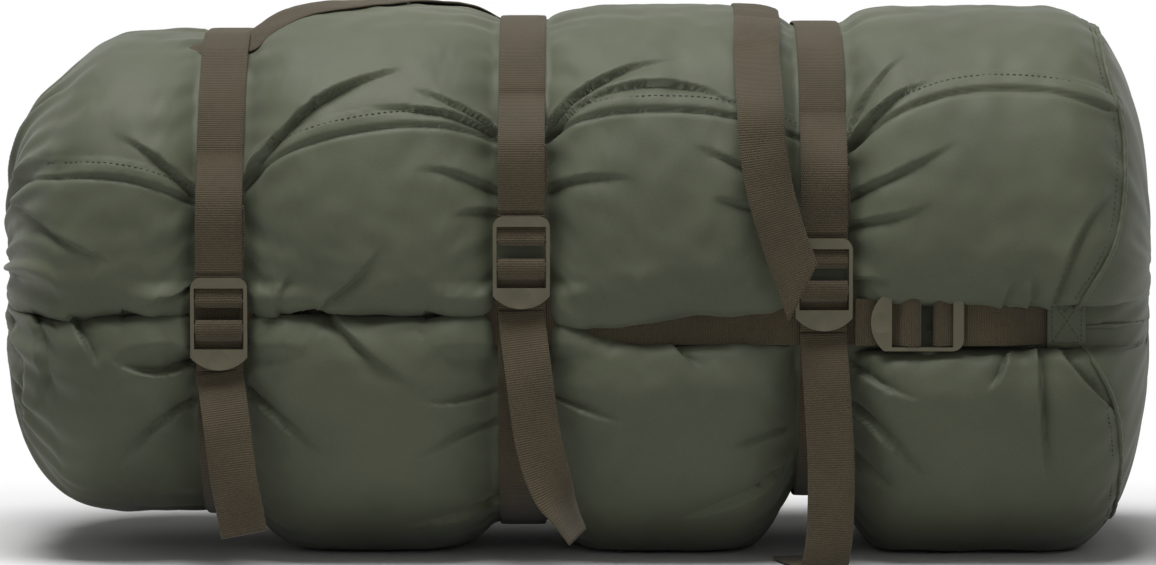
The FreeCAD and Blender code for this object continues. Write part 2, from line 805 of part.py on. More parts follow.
# ---- the pieces ---------------------------------------------------------
outside = packed_form(0.0)
inside = packed_form(fabric_thickness)
body_side = slab(-sack_length, base_seam_x)
base_side = slab(base_seam_x, sack_length)

parts = {
    "packed_load": packed_form(fabric_thickness + skin_to_load_gap),
    "body_panel": outside.common(body_side).cut(inside),
    "base_panel": outside.common(base_side).cut(inside),
    "base_seam_binding": base_binding(),
    "mouth_hem": mouth_hem(),
    "cord_eyelet": cord_eyelet(),
    "front_length_strap": front_length_strap(),
    "diagonal_length_strap": diagonal_strap(),
    "rear_length_strap": rear_length_strap(),
    "front_anchor_strap": anchor_strap(front_lock_placement, front_y, -1),
    "front_anchor_patch": anchor_patch(front_y, -1),
    "rear_anchor_strap": anchor_strap(rear_lock_placement, back_y, 1),
    "rear_anchor_patch": anchor_patch(back_y, 1),
    "right_tail": right_tail(),
    "rear_tail": rear_tail(),
    "rear_tail_end": hanging_tail(),
}

side_names = ["left", "middle", "right"]
lock_frame = lock_frame_local()
girth_bight = bight_local(tail_start)
lock_loop = lock_loop_local()
for i, name in enumerate(side_names):
    parts[name + "_girth_strap"] = girth_strap(i)
    parts[name + "_lock"] = placed(lock_frame, girth_lock_placement(i))
    parts[name + "_lock_bight"] = placed(girth_bight, girth_lock_placement(i))
    parts[name + "_lock_loop"] = placed(lock_loop, girth_lock_placement(i))
for i in range(2):
    parts[side_names[i] + "_tail"] = hanging_end(i)
parts["front_lock"] = placed(lock_frame, front_lock_placement)
parts["front_lock_bight"] = placed(bight_local(tail_start + front_stub_length), front_lock_placement)
parts["front_lock_loop"] = placed(lock_loop, front_lock_placement)
parts["rear_lock_loop"] = placed(lock_loop, rear_lock_placement)
parts["rear_lock"] = placed(lock_frame, rear_lock_placement)
parts["rear_lock_bight"] = placed(bight_local(tail_start + rear_stub_length), rear_lock_placement)

os.makedirs("parts", exist_ok=True)
for name, shape in parts.items():
    shape.exportStep("parts/" + name + ".step")
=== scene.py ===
import math

import bpy
import numpy as np
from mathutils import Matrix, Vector


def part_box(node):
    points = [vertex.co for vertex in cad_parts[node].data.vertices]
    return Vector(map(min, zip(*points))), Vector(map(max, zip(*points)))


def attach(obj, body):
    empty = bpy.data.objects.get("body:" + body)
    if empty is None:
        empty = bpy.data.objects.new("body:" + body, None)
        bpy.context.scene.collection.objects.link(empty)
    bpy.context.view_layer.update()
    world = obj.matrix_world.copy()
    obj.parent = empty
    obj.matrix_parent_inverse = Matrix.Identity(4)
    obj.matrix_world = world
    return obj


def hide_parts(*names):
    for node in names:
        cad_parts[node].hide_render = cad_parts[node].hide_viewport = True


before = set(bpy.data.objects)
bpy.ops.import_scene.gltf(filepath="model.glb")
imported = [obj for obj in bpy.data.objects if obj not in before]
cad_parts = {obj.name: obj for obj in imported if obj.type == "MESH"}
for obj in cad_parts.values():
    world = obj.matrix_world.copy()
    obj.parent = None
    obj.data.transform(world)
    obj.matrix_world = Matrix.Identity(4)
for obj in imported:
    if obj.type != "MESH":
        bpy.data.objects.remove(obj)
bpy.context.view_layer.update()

# A packed compression stuff sack on its side. Lengths are in millimetres until a mesh is made.
# X runs from the gathered mouth to the sewn base, -Y is the front, Z is up.
MM = 0.001

# ---- sizes, as in the CAD model ----
LENGTH = 630.0
WEBBING = 25.0
WEBBING_THICK = 1.6
PITCH = 161.5
STRAP_X = [-31.0 - PITCH, -31.0, -31.0 + PITCH]
VALLEY = WEBBING + 6.0
# levels under each girth strap, and at the middle of each bay beside and between them
NECK = {"top": [285, 292, 289], "bottom": [20, 14, 30], "front": [122, 125, 122], "back": [123, 125, 123]}
BAY = {"top": [286, 300, 300, 299], "bottom": [20, -4, -5, -5],
       "front": [136, 140, 140, 140], "back": [128, 130, 130, 130]}
SIDES = ("top", "bottom", "front", "back")
AXIS_Y = 4.0
SECTION_POWER = 2.6
DOME_POWER = 2.6
DOME = 64.0
BULGE_POWER = 2.2
END_REACH = 46.0
STRAP_Z = 132.0
MOUTH_Z = 150.0
CREASE_EXTRA = 6.0
HALF = LENGTH / 2

# ---- sizes of the skin's grid ----
COLUMN_STEP = 4.0
CLOSING = [52, 55, 57.5, 59.5, 61, 62.2, 63.1, 63.7, 63.93]
ROWS = 232
FINE = 3

# ---- the front crease and the upper corner at the mouth ----
UPPER_LIP = 30.0
LOWER_LIP = 26.0
CORNER_DROP = 22.0


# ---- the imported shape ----
def swell(share):
    return 1 - (1 - np.clip(4 * share * (1 - share), 0, 1)) ** BULGE_POWER


def extents(x, cinched=True):
    """Top, bottom, front and back of the sack at x, how full the bay is and the level of the front strap."""
    edge = VALLEY / 2
    if x < STRAP_X[0] - edge:
        share, full = 0.0, swell(min(1.0, (STRAP_X[0] - edge - x) / END_REACH) / 2)
        left, right, bay = 0, 0, 0
    elif x > STRAP_X[2] + edge:
        share, full = 0.0, swell(min(1.0, (x - STRAP_X[2] - edge) / END_REACH) / 2)
        left, right, bay = 2, 2, 3
    else:
        left = 0 if x < STRAP_X[1] else 1
        share = float(np.clip((x - STRAP_X[left] - edge) / (PITCH - VALLEY), 0, 1))
        right, bay, full = left + 1, left + 1, swell(share)
    if not cinched:
        full = 1.0
    values = {}
    for side in SIDES:
        neck = NECK[side][left] * (1 - share) + NECK[side][right] * share
        values[side] = neck + (BAY[side][bay] - neck) * full
    level = NECK["front"][left] * (1 - share) + NECK["front"][right] * share
    return values, full, level


def dome_scale(x):
    past = np.clip((abs(x) - (HALF - DOME)) / DOME, 0, 1)
    return (1 - past**DOME_POWER) ** (1 / DOME_POWER)


def bump(x, centre, width):
    return np.exp(-(((x - centre) / width) ** 2))


def smooth(low, high, x):
    share = np.clip((x - low) / (high - low), 0, 1)
    return share * share * (3 - 2 * share)


def crease_top(x):
    """Height of the upper lobe's lower edge along the front."""
    return (137.0 + 4.0 * bump(x, -146, 16) - 8.0 * bump(x, 12, 34) + 5.0 * smooth(120, 160, x)
            - 3 * bump(x, -275, 14))


def crease_gap(x):
    """How far the lower lobe stays below the upper one."""
    open_stretch = 15.0 * smooth(-6, 60, x) * (1 - smooth(118, 150, x))
    return 2.0 + 5.0 * bump(x, -150, 22) + open_stretch + 24.0 * smooth(118, 150, x)


def section(x, cinched=True, grow=1.0):
    """The skin's outline at x, as points (y, z) that start in the front crease and go up over the top."""
    values, full, level = extents(x, cinched)
    scale = dome_scale(x) * grow
    angle = np.radians(180.0 - np.arange(0, 360, 0.1))
    cosine, sine = np.cos(angle), np.sin(angle)
    half_height = (values["top"] - values["bottom"]) / 2 * scale
    middle = (values["top"] + values["bottom"]) / 2
    depth = np.where(cosine > 0, values["back"], values["front"]) * scale
    reach = (np.abs(cosine) / depth) ** SECTION_POWER + (np.abs(sine) / half_height) ** SECTION_POWER
    radius = reach ** (-1 / SECTION_POWER)
    y, z = radius * cosine, middle + radius * sine
    # the upper corner at the mouth slopes away
    high = np.clip((z - middle) / 150.0, 0, 1)
    z = z - CORNER_DROP * bump(x, -289, 24) * high**1.5
    # the crease between the lobes
    plain_z = z
    top_edge = crease_top(x)
    low_edge = top_edge - crease_gap(x)
    above = np.clip((z - top_edge) / UPPER_LIP, 0, 1)
    below = np.clip((low_edge - z) / LOWER_LIP, 0, 1)
    beyond = np.maximum(above, below)
    notch = 1 - np.sqrt(1 - (1 - beyond) ** 2)
    crease = max(0.0, values["front"] - level) + CREASE_EXTRA * full
    front = cosine < 0
    y = np.where(front, y + crease * scale * notch, y)
    mid_crease = (top_edge + low_edge) / 2
    lobe = crease * 0.30 * np.exp(-((above - 0.3) / 0.28) ** 2) * (z > mid_crease)
    rise = crease * 0.14 * np.exp(-((below - 0.3) / 0.28) ** 2) * (z <= mid_crease)
    z = np.where(front, z - lobe * dome_scale(x) + rise * dome_scale(x), z)
    # start in the middle of the crease
    middle_z = mid_crease * scale + middle * (1 - scale)
    start = int(np.argmin(np.where(front, np.abs(plain_z - middle_z), 1e9)))
    order = (np.arange(len(y)) + start) % len(y)
    return y[order] + AXIS_Y, z[order]


def resample(y, z, count):
    """Points spaced evenly along a closed outline, closer together near its first point."""
    y, z = np.append(y, y[0]), np.append(z, z[0])
    length = np.concatenate([[0.0], np.cumsum(np.hypot(np.diff(y), np.diff(z)))])
    total = length[-1]
    near = np.minimum(length, total - length)
    weight = 1.0 + 1.3 * np.exp(-((near / 45.0) ** 2))
    spread = np.concatenate([[0.0], np.cumsum(np.diff(length) * (weight[1:] + weight[:-1]) / 2)])
    wanted = np.arange(count) / count * spread[-1]
    return np.interp(wanted, spread, y), np.interp(wanted, spread, z)


def column_places():
    """X of each ring of the skin, from the middle of the mouth to the middle of the base."""
    flat = HALF - DOME
    end = flat + np.concatenate([np.arange(COLUMN_STEP, 50, COLUMN_STEP), CLOSING])
    count = int(round(2 * flat / COLUMN_STEP)) + 1
    return np.concatenate([-end[::-1], np.linspace(-flat, flat, count), end])


def skin_grid(columns, cinched=True, grow=1.0, stretch=1.0):
    grid = np.zeros((len(columns), ROWS, 3))
    for i, x in enumerate(columns):
        y, z = resample(*section(x, cinched, grow), ROWS)
        grid[i, :, 0] = x * stretch
        grid[i, :, 1] = y
        grid[i, :, 2] = z
    return grid


# ---- meshes ----
def link_object(name, data):
    piece = bpy.data.objects.new(name, data)
    bpy.context.scene.collection.objects.link(piece)
    return piece


def grid_faces(rows, columns, closed):
    """Quads of a grid of points numbered row by row, closed round the second way if asked."""
    i, j = np.meshgrid(np.arange(rows - 1), np.arange(columns if closed else columns - 1), indexing="ij")
    k = (j + 1) % columns
    corners = [i * columns + j, (i + 1) * columns + j, (i + 1) * columns + k, i * columns + k]
    return np.stack(corners, -1).reshape(-1, 4)


def make_mesh(name, points, faces):
    """A new object, shaded smooth, from points in millimetres."""
    mesh = bpy.data.meshes.new(name)
    mesh.from_pydata((np.asarray(points) * MM).tolist(), [], [list(map(int, face)) for face in faces])
    mesh.polygons.foreach_set("use_smooth", [True] * len(mesh.polygons))
    mesh.update()
    return link_object(name, mesh)


def normals_of(grid):
    """Outward directions of a skin grid that is closed the second way."""
    along = np.gradient(grid, axis=0)
    round_about = np.roll(grid, -1, axis=1) - np.roll(grid, 1, axis=1)
    direction = np.cross(along, round_about)
    return direction / np.maximum(np.linalg.norm(direction, axis=2, keepdims=True), 1e-9)


def upsample(grid, times):
    """A finer grid through the same points, by cubic interpolation, both ways."""
    for axis in (0, 1):
        if axis == 1:
            padded = np.concatenate([grid[:, -1:], grid, grid[:, :2]], axis=1)
        else:
            first, last = 2 * grid[:1] - grid[1:2], 2 * grid[-1:] - grid[-2:-1]
            padded = np.concatenate([first, grid, last], axis=0)
        count = grid.shape[axis] if axis == 1 else grid.shape[axis] - 1
        pick = [np.take(padded, np.arange(k, k + count), axis=axis) for k in range(4)]
        layers = []
        for step in range(times):
            f = step / times
            weights = (-f / 2 + f**2 - f**3 / 2, 1 - 2.5 * f**2 + 1.5 * f**3,
                       f / 2 + 2 * f**2 - 1.5 * f**3, (f**3 - f**2) / 2)
            layers.append(sum(w * p for w, p in zip(weights, pick)))
        finer = np.stack(layers, axis=axis + 1)
        shape = list(grid.shape)
        shape[axis] = count * times
        finer = finer.reshape(shape)
        grid = np.concatenate([finer, grid[-1:]], axis=0) if axis == 0 else finer
    return grid


# ---- cloth ----
HELD_RINGS = 7
CLOTH_STEPS = 24
CLOTH_REACH = 14.0


def relax_skin(columns, start, rest):
    """Lets the slack of the skin buckle between its straps, as cloth blown out by what it holds."""
    count = len(columns)
    piece = make_mesh("skin_cloth", start.reshape(-1, 3), grid_faces(count, ROWS, True))
    piece.shape_key_add(name="Basis")
    key = piece.shape_key_add(name="slack")
    key.data.foreach_set("co", (rest * MM).reshape(-1))
    key.value = 0.0
    hold = np.zeros((count, ROWS))
    for x in STRAP_X:
        hold[np.abs(columns - x) < WEBBING / 2 - 0.5] = 1.0
    hold[:HELD_RINGS] = 1.0
    hold[-HELD_RINGS:] = 1.0
    depth = np.minimum(np.arange(ROWS), ROWS - np.arange(ROWS))
    hold[:, depth <= 1] = 1.0
    group = piece.vertex_groups.new(name="held")
    group.add([int(i) for i in np.flatnonzero(hold.reshape(-1))], 1.0, "REPLACE")
    cloth = piece.modifiers.new("cloth", "CLOTH")
    s = cloth.settings
    s.quality = 6
    s.mass = 0.3
    s.tension_stiffness = 25
    s.compression_stiffness = 25
    s.shear_stiffness = 6
    s.bending_stiffness = 6.0
    s.air_damping = 6
    s.use_pressure = True
    s.uniform_pressure_force = 4.0
    s.effector_weights.gravity = 0
    s.vertex_group_mass = "held"
    s.pin_stiffness = 1.0
    s.rest_shape_key = key
    cloth.collision_settings.use_collision = False
    scene = bpy.context.scene
    for frame_number in range(1, CLOTH_STEPS + 1):
        scene.frame_set(frame_number)
    shown = piece.evaluated_get(bpy.context.evaluated_depsgraph_get())
    moved = np.zeros(count * ROWS * 3)
    shown.data.vertices.foreach_get("co", moved)
    scene.frame_set(1)
    bpy.data.objects.remove(piece, do_unlink=True)
    moved = moved.reshape(count, ROWS, 3) / MM
    step = moved - start
    for _ in range(4):
        step[1:-1] = (step[:-2] + 2 * step[1:-1] + step[2:]) / 4
    length = np.linalg.norm(step, axis=2, keepdims=True)
    return start + step * np.minimum(1.0, CLOTH_REACH / np.maximum(length, 1e-9)) * (1 - hold[:, :, None])


# ---- folds, seams and gathers in the skin ----
def smoothed_noise(shape, seed, rounds):
    """Random heights of about 1, smooth over a few grid steps."""
    heights = np.random.default_rng(seed).normal(0, 1, shape)
    for _ in range(rounds):
        for axis in (0, 1):
            heights = (np.roll(heights, 1, axis) + 2 * heights + np.roll(heights, -1, axis)) / 4
    return heights / heights.std()


def near_route(x, z, route):
    """Signed distance from a line of (x, z) points, above it or below it, and the share of the way along."""
    best = np.full(x.shape, 1e9)
    side = np.zeros(x.shape)
    rightward = math.copysign(1.0, route[-1][0] - route[0][0])
    share = np.zeros(x.shape)
    lengths = [math.dist(a, b) for a, b in zip(route, route[1:])]
    total, gone = sum(lengths), 0.0
    for (ax, az), (bx, bz), length in zip(route, route[1:], lengths):
        ux, uz = (bx - ax) / length, (bz - az) / length
        along = np.clip((x - ax) * ux + (z - az) * uz, 0, length)
        dx, dz = x - ax - along * ux, z - az - along * uz
        distance = np.hypot(dx, dz)
        closer = distance < best
        best = np.where(closer, distance, best)
        side = np.where(closer, np.sign(ux * dz - uz * dx + 1e-9) * rightward, side)
        share = np.where(closer, (gone + along) / total, share)
        gone += length
    return best * side, share


def curved(route, rounds=2):
    """Rounds a line of a few points by cutting its corners."""
    for _ in range(rounds):
        cut = [route[0]]
        for a, b in zip(route, route[1:]):
            cut.append(tuple(0.75 * p + 0.25 * q for p, q in zip(a, b)))
            cut.append(tuple(0.25 * p + 0.75 * q for p, q in zip(a, b)))
        route = cut + [route[-1]]
    return route


# Each fold starts at the strap or seam that pulls it: (depth, width, (x, z) points).
FOLDS = [
    (4.0, 2.4, [(-45, 231), (-60, 240), (-80, 245), (-105, 247), (-122, 243)]),
    (3.5, 2.2, [(-45, 233), (-58, 243), (-76, 252), (-94, 257)]),
    (2.8, 3.6, [(-45, 203), (-62, 211), (-78, 215), (-92, 213)]),
    (2.4, 3.2, [(-45, 191), (-58, 193), (-70, 188)]),
    (3.0, 3.4, [(-136, 143), (-122, 154), (-110, 166), (-103, 177)]),
    (2.6, 3.0, [(-160, 141), (-158, 152), (-152, 162)]),
    (5.0, 2.6, [(-18, 231), (-6, 248), (10, 260), (34, 270), (60, 272)]),
    (2.8, 3.4, [(-18, 203), (-4, 209), (16, 211), (34, 208)]),
    (2.2, 3.2, [(92, 213), (76, 221), (58, 228)]),
    (2.2, 3.0, [(92, 194), (80, 198), (68, 199)]),
    (5.0, 2.6, [(144, 225), (156, 240), (172, 254), (196, 264)]),
    (4.0, 2.8, [(144, 228), (152, 250), (164, 266), (180, 276)]),
    (3.0, 3.4, [(144, 199), (160, 208), (180, 217), (206, 231)]),
    (2.8, 3.0, [(144, 184), (160, 188), (176, 191), (190, 197)]),
    (2.2, 3.0, [(146, 155), (156, 156), (170, 153)]),
    (4.0, 3.0, [(252, 143), (258, 160), (266, 180), (278, 196), (292, 206)]),
    (3.0, 2.6, [(240, 142), (242, 150), (240, 158)]),
    (2.6, 2.6, [(226, 142), (229, 150), (233, 156)]),
    (4.0, 2.8, [(-206, 200), (-218, 213), (-234, 226), (-252, 234)]),
    (3.0, 2.6, [(-206, 152), (-222, 146), (-240, 142)]),
    (4.0, 3.0, [(-136, 138), (-120, 122), (-102, 108), (-80, 95)]),
    (3.0, 3.2, [(-178, 94), (-164, 82), (-146, 66), (-130, 58)]),
    (2.4, 3.0, [(-44, 94), (-58, 90), (-74, 88), (-92, 92)]),
    (2.6, 3.2, [(-44, 77), (-60, 72), (-76, 64), (-92, 58)]),
    (2.8, 3.0, [(-44, 32), (-62, 25), (-84, 20), (-104, 19)]),
    (2.6, 3.2, [(-18, 92), (-4, 87), (12, 81), (30, 77)]),
    (2.6, 2.8, [(46, 123), (54, 115), (66, 107)]),
    (3.0, 3.2, [(106, 48), (94, 38), (72, 29), (48, 21)]),
    (2.4, 3.0, [(106, 72), (92, 66), (76, 64)]),
    (2.8, 2.8, [(147, 107), (158, 100), (172, 93), (186, 89)]),
    (3.6, 3.0, [(147, 86), (162, 72), (178, 56), (194, 42)]),
    (2.6, 3.0, [(147, 60), (160, 46), (172, 36)]),
    (4.0, 2.8, [(245, 115), (246, 90), (248, 62), (256, 36)]),
    (4.0, 3.0, [(259, 113), (270, 100), (282, 88), (296, 74)]),
    (2.6, 2.4, [(228, 113), (224, 102), (216, 94)]),
    (4.6, 3.4, [(-208, 110), (-222, 104), (-238, 106), (-252, 112)]),
    (3.4, 3.6, [(-292, 132), (-286, 112), (-288, 92), (-294, 76)]),
    (3.0, 3.6, [(-208, 88), (-224, 78), (-240, 62), (-252, 44)]),
    (2.8, 3.4, [(-270, 131), (-262, 118), (-256, 102)]),
]
# These stay deep to their far end.
LONG_FOLDS = [
    (5.0, 2.6, [(-181, 205), (-168, 222), (-146, 247), (-124, 259), (-106, 264)]),
    (3.5, 2.4, [(-17, 230), (0, 249), (22, 258), (48, 260), (68, 256), (80, 250)]),
    (3.0, 3.0, [(-312, 196), (-296, 190), (-280, 178), (-262, 170)]),
    (4.0, 4.0, [(-308, 132), (-300, 112), (-297, 92), (-303, 70)]),
]

# the line that the flat seam follows along the front
SEAM = [(-310, 207), (-290, 209), (-262, 211), (-240, 209), (-220, 203), (-205, 195), (-193, 192),
        (-181, 201), (-170, 216), (-148, 228), (-120, 235), (-92, 238), (-70, 237), (-55, 233), (-42, 227),
        (-31, 224), (-19, 229), (-6, 238), (12, 244), (40, 246), (68, 245), (95, 240), (118, 230),
        (131, 222), (144, 223), (158, 238), (180, 249), (205, 256), (235, 257), (262, 254), (284, 246)]
SEAM_BAND = 9.0
FOLD_STRENGTH = 0.85
GATHER_HEIGHT = 0.8
GATHER_REACH = 26.0


def crease_cover(x, z):
    """Fabric that bulges over the lengthwise strap where the crease is shut, with the crease's line in it."""
    shut = 1 - smooth(-8, 12, x)
    middle = crease_top(x) - crease_gap(x) / 2
    inside = smooth(112, 121, z) * (1 - smooth(146, 155, z))
    cover = np.zeros(x.shape)
    for strap in STRAP_X[:2]:
        away = np.abs(x - strap) - WEBBING / 2
        beside = smooth(0.5, 6, away) * (1 - smooth(20, 44, away))
        cover = np.maximum(cover, (3.4 + 2.0 * smooth(5, 10, away)) * beside)
    line = 3.2 * np.exp(-np.abs((z - middle) / 2.2) ** 1.5) * smooth(4, 12, cover + np.abs(x - STRAP_X[1]))
    return shut * (cover * inside - line * (cover > 0.5))


def wrinkle(grid):
    """Displaces the skin: folds at the front, the flat seam, and gathers at the straps and both ends."""
    normal = normals_of(grid)
    x, y, z = grid[:, :, 0], grid[:, :, 1], grid[:, :, 2]
    height = np.zeros(x.shape)
    front = smooth(0.05, 0.45, -normal[:, :, 1])
    for k, (depth, width, route) in enumerate(LONG_FOLDS + FOLDS):
        distance, share = near_route(x, z, curved(route))
        fade = 1 - (0.6 * smooth(0.7, 1.0, share) if k < len(LONG_FOLDS) else smooth(0.35, 1.0, share))
        width = width * (0.7 + 0.7 * share)
        if route[0][1] < STRAP_Z:
            # the lower lobe's folds hang the other way up
            distance, depth = -distance, 1.4 * depth
        groove = -np.exp(-((np.abs(distance) / (1.3 * width)) ** 1.2))
        lip = 0.8 * np.exp(-((np.abs(distance) / (2.8 * width)) ** 1.6))
        over = smooth(-0.8, 0.8, distance)
        swell_below = 0.2 * np.exp(-(((distance + 4.0 * width) / (2.4 * width)) ** 2))
        height += depth * FOLD_STRENGTH * fade * front * (over * lip + (1 - over) * groove + swell_below)
    distance, _ = near_route(x, z, curved(SEAM))
    on_seam = front * smooth(100, 120, z)
    band = smooth(-0.6, 0.8, distance) * (1 - smooth(SEAM_BAND - 0.8, SEAM_BAND + 0.8, distance))
    height += on_seam * (1.2 * band - 1.6 * np.exp(-((distance + 0.9) / 1.3) ** 2))
    height -= on_seam * 0.8 * np.exp(-((distance - SEAM_BAND + 1.6) / 0.9) ** 2)
    height += crease_cover(x, z) * front
    # gathers that run out from under each strap, all the way round
    around = np.cumsum(np.linalg.norm(np.roll(grid, -1, axis=1) - grid, axis=2), axis=1)
    draw = np.random.default_rng(11)
    for strap in STRAP_X:
        for sign in (-1, 1):
            away = sign * (x - strap) - WEBBING / 2
            reach = np.exp(-((np.maximum(away, 0.0) / GATHER_REACH) ** 1.4)) * smooth(0, 3.5, away)
            ripple = np.zeros(x.shape)
            for waves in (19, 27, 37, 52):
                turn = 2 * np.pi * waves * around / around[:, -1:]
                ripple += np.sin(turn + draw.uniform(0, 6.28)) * draw.uniform(0.5, 1.0)
            height += reach * (GATHER_HEIGHT * ripple * (0.35 + 0.65 * (1 - front)))
    # pleats round the mouth, and weaker ones that stay clear of the base panel
    both_ends = ((-HALF, 1, 1.5, 34, (0.0, 4.0)), (HALF, -1, 0.5, 42, (20.0, 30.0)))
    for end, sign, strength, reach, clear in both_ends:
        away = sign * (x - end)
        turn = 2 * np.pi * around / around[:, -1:]
        pleats = sum(np.sin(waves * turn + draw.uniform(0, 6.28)) for waves in (23, 34, 47))
        height += strength * pleats * np.exp(-((away / reach) ** 2)) * smooth(*clear, away)
    height += 0.25 * smoothed_noise(height.shape, 5, 24)
    # flat at the base, and almost flat under the girth straps
    height *= smooth(1.0, 16.0, HALF - x)
    for strap in STRAP_X:
        height *= 1 - 0.9 * (1 - smooth(9.5, 13.0, np.abs(x - strap)))
    return grid + normal * height[:, :, None]


def settle(grid):
    """Flattens the skin where it rests on the floor, and sinks the middle of the mouth into its hem."""
    z = grid[:, :, 2]
    soft = 2.0
    grid[:, :, 2] = np.where(z < soft, soft * np.exp((z - soft) / (2 * soft)), z)
    from_mouth = np.hypot(grid[:, :, 1] - AXIS_Y, grid[:, :, 2] - MOUTH_Z)
    sunk = 9.0 * (1 - smooth(18, 32, from_mouth)) * (grid[:, :, 0] < -HALF + DOME)
    grid[:, :, 0] += sunk
    return grid


def closed_skin(name, grid):
    """The skin as a mesh, with each end drawn to a middle point."""
    count, rows = grid.shape[:2]
    points = np.concatenate([grid.reshape(-1, 3), grid[0].mean(0)[None], grid[-1].mean(0)[None]])
    faces = grid_faces(count, rows, True).tolist()
    for j in range(rows):
        k = (j + 1) % rows
        faces.append((count * rows, j, k))
        faces.append((count * rows + 1, (count - 1) * rows + k, (count - 1) * rows + j))
    return make_mesh(name, points, faces)


columns = column_places()
start = skin_grid(columns)
rest = skin_grid(columns, cinched=False, grow=1.006, stretch=0.995)
noise = smoothed_noise(start.shape[:2], 7, 3) * 0.25
skin = relax_skin(columns, start + normals_of(start) * noise[:, :, None], rest)

fine = settle(wrinkle(upsample(skin, FINE)))
count, rows = fine.shape[:2]
sack = closed_skin("sack_skin", fine)


# ---- places on the finished skin ----
fine_x = fine[:, :, 0].mean(axis=1)
POLAR = np.radians(np.arange(-90, 270, 1.0))


def polar_table():
    """Distance of the skin from the sack's axis, at each ring and each degree round it."""
    table = np.zeros((count, len(POLAR)))
    for i in range(count):
        y, z = fine[i, :, 1] - AXIS_Y, fine[i, :, 2] - MOUTH_Z
        angle = np.arctan2(z, y)
        angle = np.where(angle < -np.pi / 2, angle + 2 * np.pi, angle)
        order = np.argsort(angle)
        table[i] = np.interp(POLAR, angle[order], np.hypot(y, z)[order], period=2 * np.pi)
    return table


polar = polar_table()


def skin_yz(x, degrees):
    """Y and Z of the skin at x and an angle round the axis."""
    column = np.interp(x, fine_x, np.arange(count))
    low = int(min(column, count - 2))
    share = column - low
    row = (degrees + 90) % 360
    first, second = int(row), (int(row) + 1) % 360
    part = row - first
    near = polar[low, first] * (1 - part) + polar[low, second] * part
    far = polar[low + 1, first] * (1 - part) + polar[low + 1, second] * part
    radius, turn = near * (1 - share) + far * share, math.radians(degrees)
    return AXIS_Y + radius * math.cos(turn), MOUTH_Z + radius * math.sin(turn)


def on_skin(x, degrees, lift):
    """A point lifted off the skin at x and an angle round the axis: 0 is the back, 90 the top."""
    y, z = skin_yz(x, degrees)
    y0, z0 = skin_yz(x, degrees - 3)
    y1, z1 = skin_yz(x, degrees + 3)
    length = math.hypot(y1 - y0, z1 - z0)
    return np.array([x, y + lift * (z1 - z0) / length, z - lift * (y1 - y0) / length])


def skin_at(x, z, lift, back=False):
    """A point lifted off the front (or the back) of the skin at x and height z."""
    low, high = (-80.0, 85.0) if back else (95.0, 260.0)
    for _ in range(12):
        middle = (low + high) / 2
        if (on_skin(x, middle, 0)[2] > z) != back:
            low = middle
        else:
            high = middle
    return on_skin(x, low, lift)


# ---- webbing ----
ACROSS = np.array([-1, -0.94, -0.6, -0.3, 0, 0.3, 0.6, 0.94, 1]) / 2
EDGE_SHARE = np.array([0.25, 0.8, 1, 1, 1, 1, 1, 0.8, 0.25])
SPLINE_STEPS = 24
CUT_REACH = 2.2
ARC_PER_DEGREE = 2.4
RIGHTWARD = np.array([1.0, 0.0, 0.0])
FRONTWARD = (0, -1, 0)
BACKWARD = (0, 1, 0)


def unit(vectors):
    """Vectors scaled to a length of 1."""
    return vectors / np.linalg.norm(vectors, axis=-1, keepdims=True)


def distances(points):
    """How far each point is from the first, measured along the line."""
    return np.concatenate([[0], np.cumsum(np.linalg.norm(np.diff(points, axis=0), axis=1))])


def spline(points, step=2.0):
    """Evenly spaced points along a smooth curve through a few points of any dimension."""
    points = np.array(points, float)
    padded = np.vstack([2 * points[0] - points[1], points, 2 * points[-1] - points[-2]])
    out = []
    for a, b, c, d in zip(padded, padded[1:], padded[2:], padded[3:]):
        squared, cubed = 2 * a - 5 * b + 4 * c - d, 3 * b - a - 3 * c + d
        for f in np.linspace(0, 1, SPLINE_STEPS, endpoint=False):
            out.append(0.5 * (2 * b + (c - a) * f + squared * f**2 + cubed * f**3))
    out = np.array(out + [points[-1]])
    gone = distances(out[:, :3])
    wanted = np.linspace(0, gone[-1], max(4, int(gone[-1] / step)))
    return np.stack([np.interp(wanted, gone, out[:, k]) for k in range(out.shape[1])], axis=1)


def webbing_mesh(name, middles, normals, lengths=None):
    """A strap from rows of points across its middle plane and each row's outward direction.
    Its UV is its length and its width, in metres."""
    middles = np.array(middles)
    half = WEBBING_THICK / 2
    shift = np.array(normals)[:, None] * half * EDGE_SHARE[None, :, None]
    ring = np.concatenate([middles + shift, (middles - shift)[:, ::-1]], axis=1)
    n, m = ring.shape[:2]
    faces = grid_faces(n, m, True).tolist()
    faces.append(list(range(m)))
    faces.append([(n - 1) * m + k for k in range(m)][::-1])
    piece = make_mesh(name, ring.reshape(-1, 3), faces)
    uv = piece.data.uv_layers.new(name="weave")
    wide = np.concatenate([ACROSS, ACROSS[::-1]]) * WEBBING
    index = np.zeros(len(piece.data.loops), int)
    piece.data.loops.foreach_get("vertex_index", index)
    if lengths is None:
        lengths = np.repeat(distances(middles[:, len(ACROSS) // 2])[:, None], len(ACROSS), axis=1)
    along = np.concatenate([lengths, lengths[:, ::-1]], axis=1)
    values = np.stack([along.reshape(-1)[index], wide[index % m]], axis=1) * MM
    uv.data.foreach_set("uv", values.reshape(-1))
    return piece


